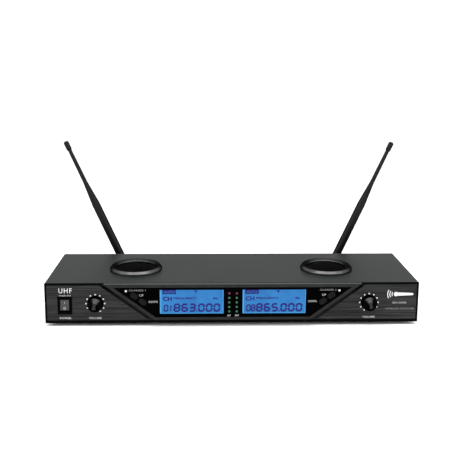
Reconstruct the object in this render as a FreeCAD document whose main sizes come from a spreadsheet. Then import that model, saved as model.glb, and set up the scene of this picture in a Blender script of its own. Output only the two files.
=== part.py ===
"""Two-channel wireless microphone receiver with two charging wells and two whip antennas.

Lengths are millimetres. X runs to the right, Y to the back and Z up from the surface that
the feet stand on. The origin is under the middle of the whole unit. Depths called "deep" are
measured from the face of the front frame towards the back.
"""
import FreeCAD, Part
import Sketcher
import math
import os
from FreeCAD import Rotation, Vector

doc = FreeCAD.newDocument("wireless_receiver")
sheet = doc.addObject("Spreadsheet::Sheet", "dims")
NODES = {}


# ---------------------------------------------------------------- driving dimensions

class Size:
    """A length that knows its value and its formula in the sheet's cells."""

    def __init__(self, value, text):
        self.value = value
        self.text = text

    def _with(self, other, sign, value):
        return Size(value, f"({self.text} {sign} {size(other).text})")

    def __add__(self, other):
        return self._with(other, "+", self.value + size(other).value)

    def __sub__(self, other):
        return self._with(other, "-", self.value - size(other).value)

    def __mul__(self, other):
        return self._with(other, "*", self.value * size(other).value)

    def __truediv__(self, other):
        return self._with(other, "/", self.value / size(other).value)

    def __radd__(self, other):
        return size(other) + self

    def __rsub__(self, other):
        return size(other) - self

    def __rmul__(self, other):
        return size(other) * self

    def __rtruediv__(self, other):
        return size(other) / self

    def __neg__(self):
        return size(0) - self


def size(number):
    """The number as a Size, if it isn't one already."""
    return number if isinstance(number, Size) else Size(float(number), f"{float(number):.6g}")


def root(length):
    return Size(math.sqrt(length.value), f"sqrt({length.text})")


def cell(alias, value):
    """Add one driving dimension to the sheet."""
    row = len(sheet.getUsedCells()) // 2 + 1
    sheet.set(f"A{row}", alias)
    sheet.set(f"B{row}", str(value))
    sheet.setAlias(f"B{row}", alias)
    return Size(float(value), f"dims.{alias}")


CASE_WIDTH = cell("case_width", 420)
CASE_DEPTH = cell("case_depth", 120)
CASE_HEIGHT = cell("case_height", 46.5)
FRONT_Y = cell("front_plane", -69.9)
FOOT_HEIGHT = cell("foot_height", 4)
FOOT_RADIUS = cell("foot_radius", 8)
FOOT_INSET = cell("foot_inset", 28)
FOOT_CHAMFER = cell("foot_chamfer_height", 1.2)
FOOT_RECESS = cell("foot_recess_radius", 3.2)
FOOT_SEAT = cell("foot_screw_seat", 2.2)
STEEL = cell("steel_thickness", 1.2)
REAR_THICKNESS = cell("rear_thickness", 1.5)

GAP = cell("assembly_gap", 0.2)
SCREW_RADIUS = cell("screw_radius", 1.5)
SCREW_HOLE = cell("screw_hole_radius", 1.7)
TAP_HOLE = cell("tapped_hole_radius", 1.55)
FLAT_HEAD = cell("flat_head_radius", 2.8)
FLAT_SEAT = cell("flat_head_seat_radius", 2.9)
PAN_HEAD = cell("pan_head_radius", 2.7)
PAN_HEIGHT = cell("pan_head_height", 1.8)
HEX_RADIUS = cell("hex_socket_radius", 0.9)
VENT_HALF = cell("vent_half_width", 1.2)
VENT_PITCH = cell("vent_pitch", 7)
VENT_X = cell("vent_group_x", 110)
VENT_START = cell("vent_start_depth", 84)
VENT_END = cell("vent_end_depth", 104)
REAR_VENT_HALF = cell("rear_vent_half_width", 1.1)
REAR_VENT_PITCH = cell("rear_vent_pitch", 5.5)
REAR_VENT_X = cell("rear_vent_x", -104)
REAR_VENT_LOW = cell("rear_vent_low", 19)
REAR_VENT_HIGH = cell("rear_vent_high", 36)

RIM_SIDE = cell("rim_side", 2.2)
RIM_BOTTOM = cell("rim_bottom", 3.3)
RIM_TOP = cell("rim_top", 2.4)
FRAME_WALL = cell("frame_wall", 2.5)
FRAME_DEPTH = cell("frame_depth", 6.2)
PLATE = cell("trim_plate_thickness", 1.2)
BOSS_HALF = cell("frame_boss_half_width", 4)
BOSS_HEIGHT = cell("frame_boss_height", 9)

WINDOW_TOP = cell("window_top", 46.4)
WINDOW_BOTTOM = cell("window_bottom", 12)
WINDOW_HALF_TOP = cell("window_half_top", 132.8)
WINDOW_HALF_BOTTOM = cell("window_half_bottom", 86.2)
WINDOW_THICKNESS = cell("window_thickness", 1.6)
WINDOW_INSET = cell("window_inset", 0.6)
BEZEL_TOP = cell("bezel_top", 50.4)
BEZEL_BOTTOM = cell("bezel_bottom", 8.8)
BEZEL_RISE = cell("bezel_rise", 4.5)
CREST_WIDTH = cell("crest_width", 3.3)
BEVEL_RUN = cell("bevel_run", 5.3)
LEDGE = cell("window_ledge", 1.3)
BEZEL_LAP = cell("bezel_under_plate_lap", 3)

LCD_X = cell("lcd_centre_x", 46.2)
LCD_Z = cell("lcd_centre_z", 29.7)
LCD_WIDTH = cell("lcd_width", 72.6)
LCD_HEIGHT = cell("lcd_height", 29.8)
LCD_OVERLAP = cell("lcd_window_overlap", 0.8)
LCD_FRONT = cell("lcd_front_depth", -2.1)
LCD_BACK = cell("lcd_back_depth", -0.3)
BACKLIGHT_FRONT = cell("backlight_front_depth", -0.25)
LED_RADIUS = cell("led_radius", 1.5)
LED_DOME = cell("led_dome_depth", -2.5)
LED_GAP = cell("led_gap", 0.2)
CHARGE_LED_X = cell("charge_led_x", 119.2)
CHARGE_LED_Z = cell("charge_led_z", 42.4)
LED_COLUMN = cell("led_column_x", 4.2)
LED_PITCH = cell("led_pitch", 5.3)
LED_LOW = cell("led_lowest_z", 18.2)
BOARD = cell("board_thickness", 1.6)
BOARD_FRONT = cell("display_board_depth", 4.8)
BOARD_HALF = cell("display_board_half_width", 136)
BOARD_LOW = cell("display_board_low", 9)
LED_FLANGE = cell("led_flange", 0.4)
LED_FLANGE_DEPTH = cell("led_flange_depth", 0.8)

BUTTON_LONG = cell("button_length", 9.5)
BUTTON_WIDE = cell("button_width", 6.2)
BUTTON_TRAVEL = cell("button_travel", 0.6)
BUTTON_GAP = cell("button_gap", 0.3)
BUTTON_FRONT = cell("button_front_depth", -5.1)
BUTTON_BACK = cell("button_flange_back_depth", -0.8)
BUTTON_FLANGE = cell("button_flange", 0.6)
BUTTON_STEM = cell("button_stem_radius", 1.5)
BUTTON_STEM_END = cell("button_stem_end_depth", 0.5)
TACT_HALF = cell("tact_switch_half_width", 2.3)
TACT_FRONT = cell("tact_switch_front_depth", 2.2)
TACT_PLUNGER = cell("tact_plunger_radius", 1.6)
TACT_TIP = cell("tact_plunger_tip_depth", 1.4)
UP_X = cell("up_button_x", 110.2)
UP_Z = cell("up_button_z", 37.1)
DOWN_X = cell("down_button_x", 100.8)
DOWN_Z = cell("down_button_z", 30.3)

KNOB_X = cell("knob_x", 153.8)
KNOB_Z = cell("knob_z", 27)
KNOB_RADIUS = cell("knob_radius", 8.9)
KNOB_REACH = cell("knob_reach", 11.5)
KNOB_TURN = cell("knob_rest_turn", 12)
KNOB_WAIST = cell("knob_grip_half_waist", 1.7)
KNOB_SCOOP = cell("knob_scoop_radius", 7.4)
KNOB_SCOOP_FLOOR = cell("knob_scoop_floor_depth", -6.3)
KNOB_SLOPE_RUN = cell("knob_slope_run", 4.4)
KNOB_SLOPE_FALL = cell("knob_slope_fall", 5)
KNOB_DRAFT = cell("knob_draft", 0.8)
KNOB_SKIRT = cell("knob_skirt_depth", -0.4)
KNOB_CAVITY = cell("knob_cavity_radius", 6.4)
KNOB_CAVITY_END = cell("knob_cavity_end_depth", -3.2)
SHAFT_RADIUS = cell("pot_shaft_radius", 3)
SHAFT_TIP = cell("pot_shaft_tip_depth", -5.7)
BUSH_RADIUS = cell("pot_bush_radius", 3.5)
BUSH_HOLE = cell("pot_bush_hole_radius", 3.6)
RUNNING = cell("running_clearance", 0.08)

SWITCH_X = cell("switch_x", 187.7)
SWITCH_Z = cell("switch_z", 25.1)
ROCKER_TILT = cell("rocker_tilt", 10)
ROCKER_PIVOT = cell("rocker_pivot_depth", 3)
ROCKER_HALF = cell("rocker_half_width", 4.8)
TRUNNION = cell("rocker_trunnion_radius", 1.2)
TRUNNION_REACH = cell("rocker_trunnion_reach", 6)
SWITCH_LIP_X = cell("switch_lip_half_width", 7.9)
SWITCH_LIP_Z = cell("switch_lip_half_height", 10.3)
SWITCH_LIP = cell("switch_lip_thickness", 1.5)
SWITCH_BOX_X = cell("switch_box_half_width", 6.6)
SWITCH_BOX_Z = cell("switch_box_half_height", 8.4)
SWITCH_DEPTH = cell("switch_depth", 14)
SWITCH_WALL = cell("switch_wall", 1.5)
SWITCH_CAVITY = cell("switch_cavity_depth", 9)
SWITCH_FIT = cell("switch_cutout_gap", 0.1)
SPADE_HALF = cell("spade_half_width", 2.4)
SPADE_THICK = cell("spade_half_thickness", 0.4)
SPADE_END = cell("spade_end_depth", 20)

WELL_X = cell("well_x", 113)
WELL_DEEP = cell("well_deep", 54.5)
WELL_RADIUS = cell("well_radius", 22.2)
WELL_FLOOR = cell("well_floor", 14)
WELL_SEAT = cell("well_seat", 18.2)
CUP_WALL = cell("cup_wall", 1.6)
RING_INNER = cell("ring_inner_radius", 22.8)
RING_OUTER = cell("ring_outer_radius", 30.6)
RING_CREST = cell("ring_crest_radius", 28.5)
RING_RISE = cell("ring_rise", 4.9)
RING_EDGE = cell("ring_edge_height", 2.1)
RING_DIP = cell("ring_mouth_dip", 1.6)
PIN_RADIUS = cell("charge_pin_radius", 1.3)
PIN_PITCH = cell("charge_pin_pitch", 5)
PIN_LOW = cell("charge_pin_low", 9.6)
PIN_RISE = cell("charge_pin_rise", 2.2)
RING_FILLET = cell("ring_fillet", 0.8)
CUP_FLANGE = cell("cup_flange", 4)
CUP_FLANGE_THICK = cell("cup_flange_thickness", 1.6)
CUP_STEP = cell("cup_seat_step", 0.9)
CHARGE_BOARD_LOW = cell("charge_board_low", 6.3)
CHARGE_BOARD_X = cell("charge_board_half_length", 15)
CHARGE_BOARD_Y = cell("charge_board_half_width", 9)
SPACER_X = cell("charge_spacer_x", 11)
BARREL_WALL = cell("charge_barrel_wall", 0.8)
BARREL_TOP = cell("charge_barrel_top", 11.7)

BNC_X = cell("bnc_x", 135.5)
BNC_Z = cell("bnc_z", 27)
ANTENNA_TILT = cell("antenna_tilt", 24)
PIVOT_REACH = cell("antenna_pivot_reach", 26)
EAR_RADIUS = cell("antenna_ear_radius", 5)
EAR_GAP = cell("antenna_ear_inner_x", 2.8)
EAR_WIDTH = cell("antenna_ear_width", 2.2)
EAR_ROOT = cell("antenna_ear_root", 5.6)
HINGE_PIN = cell("antenna_hinge_pin_radius", 1.5)
HINGE_HALF = cell("antenna_hinge_pin_half", 5)
KNUCKLE_RADIUS = cell("antenna_knuckle_radius", 4.6)
KNUCKLE_HALF = cell("antenna_knuckle_half", 2.5)
BNC_SHELL = cell("bnc_shell_radius", 4.8)
BNC_BORE = cell("bnc_bore_radius", 4.1)
BNC_CORE = cell("bnc_core_radius", 2.3)
BNC_CONTACT = cell("bnc_contact_radius", 0.7)
BNC_LUG = cell("bnc_lug_radius", 1)
BNC_LUG_REACH = cell("bnc_lug_reach", 5.6)
BNC_LUG_DEEP = cell("bnc_lug_from_panel", 9)
BNC_LENGTH = cell("bnc_length", 12.5)
BNC_COLLAR = cell("bnc_collar_radius", 7)
COLLAR_RADIUS = cell("bayonet_collar_radius", 7.2)
COLLAR_BORE = cell("bayonet_collar_bore", 6.3)
COLLAR_NECK = cell("bayonet_collar_neck", 5.2)
WHIP_LENGTH = cell("whip_length", 179.5)
WHIP_RADIUS = cell("whip_radius", 5.3)
WHIP_NECK = cell("whip_neck_radius", 4.3)
WHIP_SLIM = cell("whip_slim_radius", 2.75)
WHIP_END = cell("whip_end_radius", 2.35)
WHIP_TAPER_START = cell("whip_taper_start", 90.6)
WHIP_TAPER_END = cell("whip_taper_end", 122)
TIP_LENGTH = cell("whip_tip_length", 12.5)
TIP_RADIUS = cell("whip_tip_radius", 3.25)
TIP_CHAMFER = cell("whip_tip_chamfer", 1.5)

XLR_X = cell("xlr_x", 46)
XLR_Z = cell("xlr_z", 27.5)
XLR_BORE = cell("xlr_bore", 9.6)
XLR_WALL = cell("xlr_wall", 1)
XLR_FLANGE = cell("xlr_flange_thickness", 1.5)
XLR_FLANGE_X = cell("xlr_flange_half_width", 13)
XLR_FLANGE_Z = cell("xlr_flange_half_height", 15.5)
XLR_SCREW_X = cell("xlr_screw_x", 9.5)
XLR_SCREW_Z = cell("xlr_screw_z", 12)
XLR_FLOOR = cell("xlr_floor_from_panel", 15)
XLR_PIN = cell("xlr_pin_radius", 1.2)
XLR_PIN_END = cell("xlr_pin_end_from_panel", 3.5)
FLANGE_SCREW_HOLE = cell("flange_screw_hole_radius", 1.6)
JACK_BORE = cell("line_jack_bore", 3.25)
JACK_BUSH = cell("line_jack_bush_radius", 4.5)
JACK_HOLE = cell("line_jack_hole_radius", 4.55)
JACK_X = cell("line_jack_half_width", 7.5)
JACK_Z = cell("line_jack_half_height", 6.5)
JACK_LENGTH = cell("line_jack_length", 28)
INLET_X = cell("dc_inlet_x", 84)
INLET_BUSH = cell("dc_inlet_bush_radius", 4)
INLET_HOLE = cell("dc_inlet_hole_radius", 4.05)
INLET_BORE = cell("dc_inlet_bore", 2.85)
INLET_PIN = cell("dc_inlet_pin_radius", 1.05)
INLET_HALF = cell("dc_inlet_half_width", 5)
INLET_HALF_Z = cell("dc_inlet_half_height", 5.5)
INLET_LENGTH = cell("dc_inlet_length", 13)
MAIN_BOARD_Z = cell("main_board_height", 11.2)
MAIN_BOARD_HALF = cell("main_board_half_width", 84)
MAIN_BOARD_START = cell("main_board_start_depth", 20)
MAIN_BOARD_END = cell("main_board_end_depth", 112)
STANDOFF_RADIUS = cell("standoff_radius", 3)
CAN_X = cell("shield_can_x", 48)
CAN_DEEP = cell("shield_can_deep", 58)
CAN_HALF_X = cell("shield_can_half_width", 24)
CAN_HALF_Y = cell("shield_can_half_depth", 18)
CAN_HEIGHT = cell("shield_can_height", 9)
CAN_WALL = cell("shield_can_wall", 0.5)
CAPACITOR_RADIUS = cell("capacitor_radius", 5)
CAPACITOR_HEIGHT = cell("capacitor_height", 15)
SINK_X = cell("heatsink_x", 62)
SINK_WIDTH = cell("heatsink_width", 18)
SINK_DEEP = cell("heatsink_depth_start", 84)
SINK_BASE = cell("heatsink_base", 3)
SINK_FIN_END = cell("heatsink_fin_end", 93)
SINK_HEIGHT = cell("heatsink_height", 20)
SINK_FIN = cell("heatsink_half_fin", 0.6)
SINK_PITCH = cell("heatsink_pitch", 4.2)

HALF = CASE_WIDTH / 2
FLOOR = FOOT_HEIGHT
TOP = FOOT_HEIGHT + CASE_HEIGHT
FRAME_TOP = TOP - STEEL
PANEL_BOTTOM = FLOOR + RIM_BOTTOM
PANEL_TOP = TOP - RIM_TOP
BACK = CASE_DEPTH
REAR_INNER = CASE_DEPTH - REAR_THICKNESS
SIDE_INNER = HALF - STEEL - 0.2
PANE_BACK = WINDOW_INSET + WINDOW_THICKNESS - BEZEL_RISE
WINDOW_SLOPE = (WINDOW_HALF_TOP - WINDOW_HALF_BOTTOM) / (WINDOW_TOP - WINDOW_BOTTOM)
SLANT_LENGTH = root(1 + WINDOW_SLOPE * WINDOW_SLOPE)
SIDES = {"left": -1, "right": 1}


# ---------------------------------------------------------------- building blocks

def bind(item, path, length):
    """Set a property of an object from a Size, as a formula wherever it uses the sheet."""
    length = size(length)
    item.setExpression(path, length.text)


def place(item, x, deep, z, turn=None):
    """Put an object at a point, and turn it about one axis by an angle."""
    if turn is not None:
        axis, angle = turn
        item.Placement = FreeCAD.Placement(Vector(0, 0, 0), Rotation(axis, angle.value))
        bind(item, "Placement.Rotation.Angle", angle)
    bind(item, "Placement.Base.x", x)
    bind(item, "Placement.Base.y", FRONT_Y + deep)
    bind(item, "Placement.Base.z", z)
    return item


def block(x, deep, z):
    """A box between two limits on each axis."""
    item = doc.addObject("Part::Box", "Block")
    for prop, (low, high) in zip(("Length", "Width", "Height"), (x, deep, z)):
        bind(item, prop, size(high) - low)
    return place(item, x[0], deep[0], z[0])


AXIS_TURN = {"x": (Vector(0, 1, 0), 90), "y": (Vector(1, 0, 0), -90), "z": (Vector(0, 0, 1), 0)}


def along(item, axis, centre, low):
    """Stand a round primitive on one axis, with its base at low on it."""
    vector, degrees = AXIS_TURN[axis]
    item.Placement = FreeCAD.Placement(Vector(0, 0, 0), Rotation(vector, degrees))
    at = {"x": (low, *centre), "y": (centre[0], low, centre[1]), "z": (*centre, low)}[axis]
    return place(item, *at)


def rod(axis, centre, radius, low, high):
    """A cylinder along an axis between two positions on it."""
    item = doc.addObject("Part::Cylinder", "Rod")
    bind(item, "Radius", radius)
    bind(item, "Height", size(high) - low)
    return along(item, axis, centre, low)


def cone(axis, centre, low_radius, high_radius, low, high):
    item = doc.addObject("Part::Cone", "Taper")
    bind(item, "Radius1", low_radius)
    bind(item, "Radius2", high_radius)
    bind(item, "Height", size(high) - low)
    return along(item, axis, centre, low)


def ball(x, deep, z, radius):
    item = doc.addObject("Part::Sphere", "Ball")
    bind(item, "Radius", radius)
    return place(item, x, deep, z)


def join(*items):
    """One solid out of several that touch."""
    item = doc.addObject("Part::MultiFuse", "Joined")
    item.Shapes = list(items)
    item.Refine = True
    return item


def gather(items):
    """Several separate solids that are kept in one node."""
    item = doc.addObject("Part::Compound", "Group")
    item.Links = list(items)
    return item


def remove(base, *tools):
    item = doc.addObject("Part::Cut", "Cut")
    item.Base = base
    item.Tool = tools[0] if len(tools) == 1 else gather_tools(tools)
    return item


def gather_tools(tools):
    item = doc.addObject("Part::MultiFuse", "Tools")
    item.Shapes = list(tools)
    return item


def pill(x, z, length, width, low, high, side):
    """A bar with round ends, parallel to the window's slanted edge on its side of the unit."""
    reach = (length - width) / 2
    run_x = side * WINDOW_SLOPE / SLANT_LENGTH
    run_z = 1 / SLANT_LENGTH
    ends = [rod("y", (x + way * reach * run_x, z + way * reach * run_z), width / 2, low, high)
            for way in (-1, 1)]
    bar = doc.addObject("Part::Box", "Bar")
    bind(bar, "Length", reach * 2)
    bind(bar, "Width", size(high) - low)
    bind(bar, "Height", width)
    slant = Size(math.degrees(math.atan(1 / WINDOW_SLOPE.value)), f"atan(1 / {WINDOW_SLOPE.text})")
    corner_x = x - reach * run_x * side + side * run_z * width / 2
    corner_z = z - side * reach * run_z - width / 2 * run_x * side
    place(bar, corner_x, low, corner_z, (Vector(0, -side, 0), slant))
    return join(bar, *ends)


def node(name, item):
    """Name a finished sub-part."""
    item.Label = name
    NODES[name] = item
    return item


def new_body(name, x=0, deep=0, z=0, turn=None):
    body = doc.addObject("PartDesign::Body", "Body")
    place(body, x, deep, z, turn)
    return node(name, body) if name else body


def draw(body, plane, offset, loops):
    """A sketch of closed outlines. A circle is (u, v, radius) and a polygon a list of points."""
    drawing = body.newObject("Sketcher::SketchObject", "Drawing")
    origin_plane = next(item for item in body.Origin.OriginFeatures if item.Role == plane)
    drawing.AttachmentSupport = (origin_plane, [""])
    drawing.MapMode = "FlatFace"
    bind(drawing, "AttachmentOffset.Base.z", offset)
    for loop in loops:
        if isinstance(loop, tuple):
            draw_circle(drawing, *loop)
        else:
            draw_polygon(drawing, loop)
    return drawing


def pin_point(drawing, geometry, point, u, v):
    """Fix a sketch point at two signed distances from the sketch's origin."""
    for kind, length in (("DistanceX", size(u)), ("DistanceY", size(v))):
        rule = Sketcher.Constraint(kind, -1, 1, geometry, point, length.value)
        bind(drawing, f"Constraints[{drawing.addConstraint(rule)}]", length)


def draw_circle(drawing, u, v, radius):
    centre = Vector(size(u).value, size(v).value, 0)
    circle = drawing.addGeometry(Part.Circle(centre, Vector(0, 0, 1), size(radius).value), False)
    rule = drawing.addConstraint(Sketcher.Constraint("Radius", circle, size(radius).value))
    bind(drawing, f"Constraints[{rule}]", radius)
    pin_point(drawing, circle, 3, u, v)


def draw_polygon(drawing, points):
    corners = [Vector(size(u).value, size(v).value, 0) for u, v in points]
    lines = [drawing.addGeometry(Part.LineSegment(start, end), False)
             for start, end in zip(corners, corners[1:] + corners[:1])]
    for line, following in zip(lines, lines[1:] + lines[:1]):
        drawing.addConstraint(Sketcher.Constraint("Coincident", line, 2, following, 1))
    for line, (u, v) in zip(lines, points):
        pin_point(drawing, line, 1, u, v)


def pad(body, plane, offset, length, *loops):
    """Raise outlines along the plane's normal: XY up, XZ to the front, YZ to the right."""
    feature = body.newObject("PartDesign::Pad", "Pad")
    feature.Profile = draw(body, plane, offset, loops)
    bind(feature, "Length", length)
    return feature


def pocket(body, plane, offset, length, *loops):
    """Cut outlines against the plane's normal: XY down, XZ to the back, YZ to the left."""
    doc.recompute()
    before = body.Shape.Volume
    feature = body.newObject("PartDesign::Pocket", "Pocket")
    feature.Profile = draw(body, plane, offset, loops)
    bind(feature, "Length", length)
    doc.recompute()
    if body.Shape.Volume >= before:
        raise RuntimeError(f"a pocket cuts nothing in {body.Label}")
    return feature


def turn_about(body, axis, *loops):
    """Revolve outlines of (radius, position) points about the body's own axis."""
    if axis == "x":
        loops = [[(along_axis, radius) for radius, along_axis in loop] for loop in loops]
    feature = body.newObject("PartDesign::Revolution", "Revolution")
    drawing = draw(body, "XZ_Plane" if axis == "z" else "XY_Plane", 0, loops)
    feature.Profile = drawing
    feature.ReferenceAxis = (drawing, ["H_Axis" if axis == "x" else "V_Axis"])
    feature.Angle = 360
    return feature


def soften(body, radius, chosen):
    """Round every edge of the body that the test picks."""
    doc.recompute()
    base = body.Tip
    edges = [f"Edge{number}" for number, edge in enumerate(base.Shape.Edges, 1) if chosen(edge)]
    if not edges:
        raise RuntimeError(f"no edge to round in {body.Label}")
    feature = body.newObject("PartDesign::Fillet", "Fillet")
    feature.Base = (base, edges)
    bind(feature, "Radius", radius)
    doc.recompute()
    return feature


def rectangle(u, v):
    """Corners of a rectangle between two limits each way."""
    return [(u[0], v[0]), (u[1], v[0]), (u[1], v[1]), (u[0], v[1])]


def window_edge(z, outward=0):
    """Half width of the window at a height, moved outward square to its slanted edge."""
    return WINDOW_HALF_BOTTOM + (z - WINDOW_BOTTOM) * WINDOW_SLOPE + outward * SLANT_LENGTH


def trapezoid(bottom, top, outward):
    """The window's outline between two heights, moved outward at its slanted edges."""
    low, high = window_edge(bottom, outward), window_edge(top, outward)
    return [(-low, bottom), (low, bottom), (high, top), (-high, top)]


def flat_screw(axis, centre, head, way, reach):
    """A countersunk M3 screw, flush at head, that points along way for its reach."""
    low, high = sorted((head, head + way * STEEL), key=lambda end: end.value)
    radii = (FLAT_HEAD, SCREW_RADIUS + 0.1) if way > 0 else (SCREW_RADIUS + 0.1, FLAT_HEAD)
    flare = cone(axis, centre, *radii, low, high)
    low, high = sorted((head, head + way * reach), key=lambda end: end.value)
    shank = rod(axis, centre, SCREW_RADIUS, low, high)
    socket_low, socket_high = sorted((head - way, head + way * 0.8), key=lambda end: end.value)
    return remove(join(flare, shank), rod(axis, centre, HEX_RADIUS, socket_low, socket_high))


def pan_screw(axis, centre, seat, way, reach):
    """A pan-head M3 screw: its head stands outside the seat, its shank goes along way."""
    low, high = sorted((seat, seat - way * PAN_HEIGHT), key=lambda end: end.value)
    head = rod(axis, centre, PAN_HEAD, low, high)
    low, high = sorted((seat - way * 0.5, seat + way * reach), key=lambda end: end.value)
    shank = rod(axis, centre, SCREW_RADIUS, low, high)
    low, high = sorted((seat - way * (PAN_HEIGHT + 0.7), seat - way * PAN_HEIGHT / 2),
                       key=lambda end: end.value)
    return remove(join(head, shank), rod(axis, centre, HEX_RADIUS, low, high))


# ---------------------------------------------------------------- places shared by parts

FOOT_PLACES = [(way * (HALF - FOOT_INSET), deep) for way in (-1, 1)
               for deep in (size(22), CASE_DEPTH - 22)]
FRAME_SCREW_PLACES = [(way * x, size(9.5)) for way in (-1, 1) for x in (size(198), size(150))]
COVER_SCREW_PLACES = [(deep, size(27)) for deep in (size(34), CASE_DEPTH - 24)]
BOARD_PLACES = [(way * size(78), deep) for way in (-1, 1) for deep in (size(26), size(106))]
DISPLAY_SCREWS = [(way * x, z) for way in (-1, 1)
                  for x, z in ((size(102), size(14)), (size(132), size(41.5)))]
CAPACITOR_PLACES = [(size(x), size(deep)) for x, deep in ((-12, 44), (0, 44), (12, 44), (0, 58))]
LED_ROWS = [LED_LOW + row * LED_PITCH for row in range(5)]
METER_COLUMNS = (-LED_COLUMN, LED_COLUMN)
GREEN_PLACES = [(x, z) for x in METER_COLUMNS for z in LED_ROWS[:-1]]
RED_PLACES = [(x, LED_ROWS[-1]) for x in METER_COLUMNS]
CHARGE_LED_PLACES = [(way * CHARGE_LED_X, CHARGE_LED_Z) for way in (-1, 1)]
LAMP_PLACES = GREEN_PLACES + RED_PLACES + CHARGE_LED_PLACES
BUTTONS = [(f"button_{name}_{side}", way, way * x, z)
           for side, way in SIDES.items()
           for name, x, z in (("up", UP_X, UP_Z), ("down", DOWN_X, DOWN_Z))]


# ---------------------------------------------------------------- case

def make_base_tray():
    """Folded steel tray: a floor and two sides, open at the front and back."""
    body = new_body(None)
    outer, inner = SIDE_INNER, SIDE_INNER - STEEL
    low, high = FLOOR, FRAME_TOP - GAP
    pad(body, "XZ_Plane", -REAR_INNER + 0.1, REAR_INNER - FRAME_DEPTH - 0.3,
        [(-outer, low), (outer, low), (outer, high), (inner, high), (inner, low + STEEL),
         (-inner, low + STEEL), (-inner, high), (-outer, high)])
    holes = [(x, deep, SCREW_HOLE) for x, deep in FOOT_PLACES]
    pocket(body, "XY_Plane", low + 2 * STEEL, 3 * STEEL, *holes)
    side_holes = [(deep, z, SCREW_HOLE) for deep, z in COVER_SCREW_PLACES]
    pocket(body, "YZ_Plane", HALF + 5, CASE_WIDTH + 10, *side_holes)
    slots = [rectangle((x - VENT_HALF, x + VENT_HALF), (VENT_START, VENT_END))
             for x in (side * (VENT_X + VENT_PITCH * step)
                       for side in (-1, 1) for step in range(-3, 4))]
    pocket(body, "XY_Plane", low + 2 * STEEL, 3 * STEEL, *slots)
    flares = [cone("z", centre, FLAT_SEAT, SCREW_HOLE, low, low + STEEL)
              for centre in FRAME_SCREW_PLACES]
    node("base_tray", remove(body, *flares))


def make_rear_panel():
    """Rear plate with the holes of its connectors and a row of vents."""
    body = new_body("rear_panel")
    holes = [(way * BNC_X, BNC_Z, BNC_SHELL + 0.05) for way in (-1, 1)]
    holes += [(way * XLR_X, XLR_Z, XLR_BORE + XLR_WALL + 0.05) for way in (-1, 1)]
    holes += [(way * XLR_X + side * XLR_SCREW_X, XLR_Z + side * XLR_SCREW_Z, FLANGE_SCREW_HOLE)
              for way in (-1, 1) for side in (-1, 1)]
    holes += [(size(0), XLR_Z, JACK_HOLE), (INLET_X, XLR_Z, INLET_HOLE)]
    slots = [rectangle((x - REAR_VENT_HALF, x + REAR_VENT_HALF), (REAR_VENT_LOW, REAR_VENT_HIGH))
             for x in (REAR_VENT_X + REAR_VENT_PITCH * step for step in range(6))]
    pad(body, "XZ_Plane", -BACK, REAR_THICKNESS,
        rectangle((-SIDE_INNER, SIDE_INNER), (FLOOR, FRAME_TOP - 0.1)), *holes, *slots)


def make_top_cover():
    """Steel cover: the top and two side flanges, with a round opening over each well."""
    body = new_body(None)
    start = PLATE + GAP
    pad(body, "XZ_Plane", -BACK, BACK - start, rectangle((-HALF, HALF), (FRAME_TOP, TOP)))
    for way in (-1, 1):
        sides = sorted((way * (HALF - STEEL), way * HALF), key=lambda edge: edge.value)
        pad(body, "XZ_Plane", -BACK, BACK - FRAME_DEPTH - GAP,
            rectangle(sides, (FLOOR + 1.5, FRAME_TOP)))
    wells = [(way * WELL_X, WELL_DEEP, WELL_RADIUS + CUP_WALL + 0.6) for way in (-1, 1)]
    pocket(body, "XY_Plane", TOP + 1, STEEL + 2, *wells)
    soften(body, 1, lambda edge: is_line(edge, "y") and near(edge, "z", TOP)
           and abs(abs(edge.CenterOfMass.x) - HALF.value) < 0.01)
    cones = [cone("x", centre, *radii, *ends) for centre in COVER_SCREW_PLACES
             for radii, ends in (((FLAT_SEAT, SCREW_HOLE), (-HALF, STEEL - HALF)),
                                 ((SCREW_HOLE, FLAT_SEAT), (HALF - STEEL, HALF)))]
    node("top_cover", remove(body, *cones))


def is_line(edge, axis):
    """Whether an edge is straight and runs along an axis."""
    if edge.Curve.TypeId != "Part::GeomLine":
        return False
    spans = {"x": edge.BoundBox.XLength, "y": edge.BoundBox.YLength, "z": edge.BoundBox.ZLength}
    return abs(spans[axis] - edge.Length) < 1e-6


def near(edge, axis, position):
    """Whether an edge's middle lies at a position on an axis."""
    return abs(getattr(edge.CenterOfMass, axis) - size(position).value) < 0.01


def lies_at_depth(edge, deep):
    """Whether the whole edge lies at one depth of its body."""
    box = edge.BoundBox
    return max(abs(box.YMin - size(deep).value), abs(box.YMax - size(deep).value)) < 0.01


def make_feet():
    """Four rubber feet and the screws up through them."""
    outline = [(SCREW_HOLE, FOOT_HEIGHT), (FOOT_RADIUS, FOOT_HEIGHT), (FOOT_RADIUS, FOOT_CHAMFER),
               (FOOT_RADIUS - 1, 0), (FOOT_RECESS, 0), (FOOT_RECESS, FOOT_SEAT),
               (SCREW_HOLE, FOOT_SEAT)]
    feet = []
    for x, deep in FOOT_PLACES:
        foot = new_body(None, x, deep, 0)
        turn_about(foot, "z", outline)
        feet.append(foot)
    node("feet", gather(feet))
    node("foot_screws", gather([pan_screw("z", centre, FOOT_SEAT, 1, 5.5)
                                for centre in FOOT_PLACES]))


def make_case_screws():
    """Countersunk screws of the cover's sides and of the front frame's bosses."""
    sides = [flat_screw("x", centre, -way * HALF, way, 6)
             for way in (-1, 1) for centre in COVER_SCREW_PLACES]
    node("cover_screws", gather(sides))
    node("front_screws", gather([flat_screw("z", centre, FLOOR, 1, 8)
                                 for centre in FRAME_SCREW_PLACES]))


# ---------------------------------------------------------------- front

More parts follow.
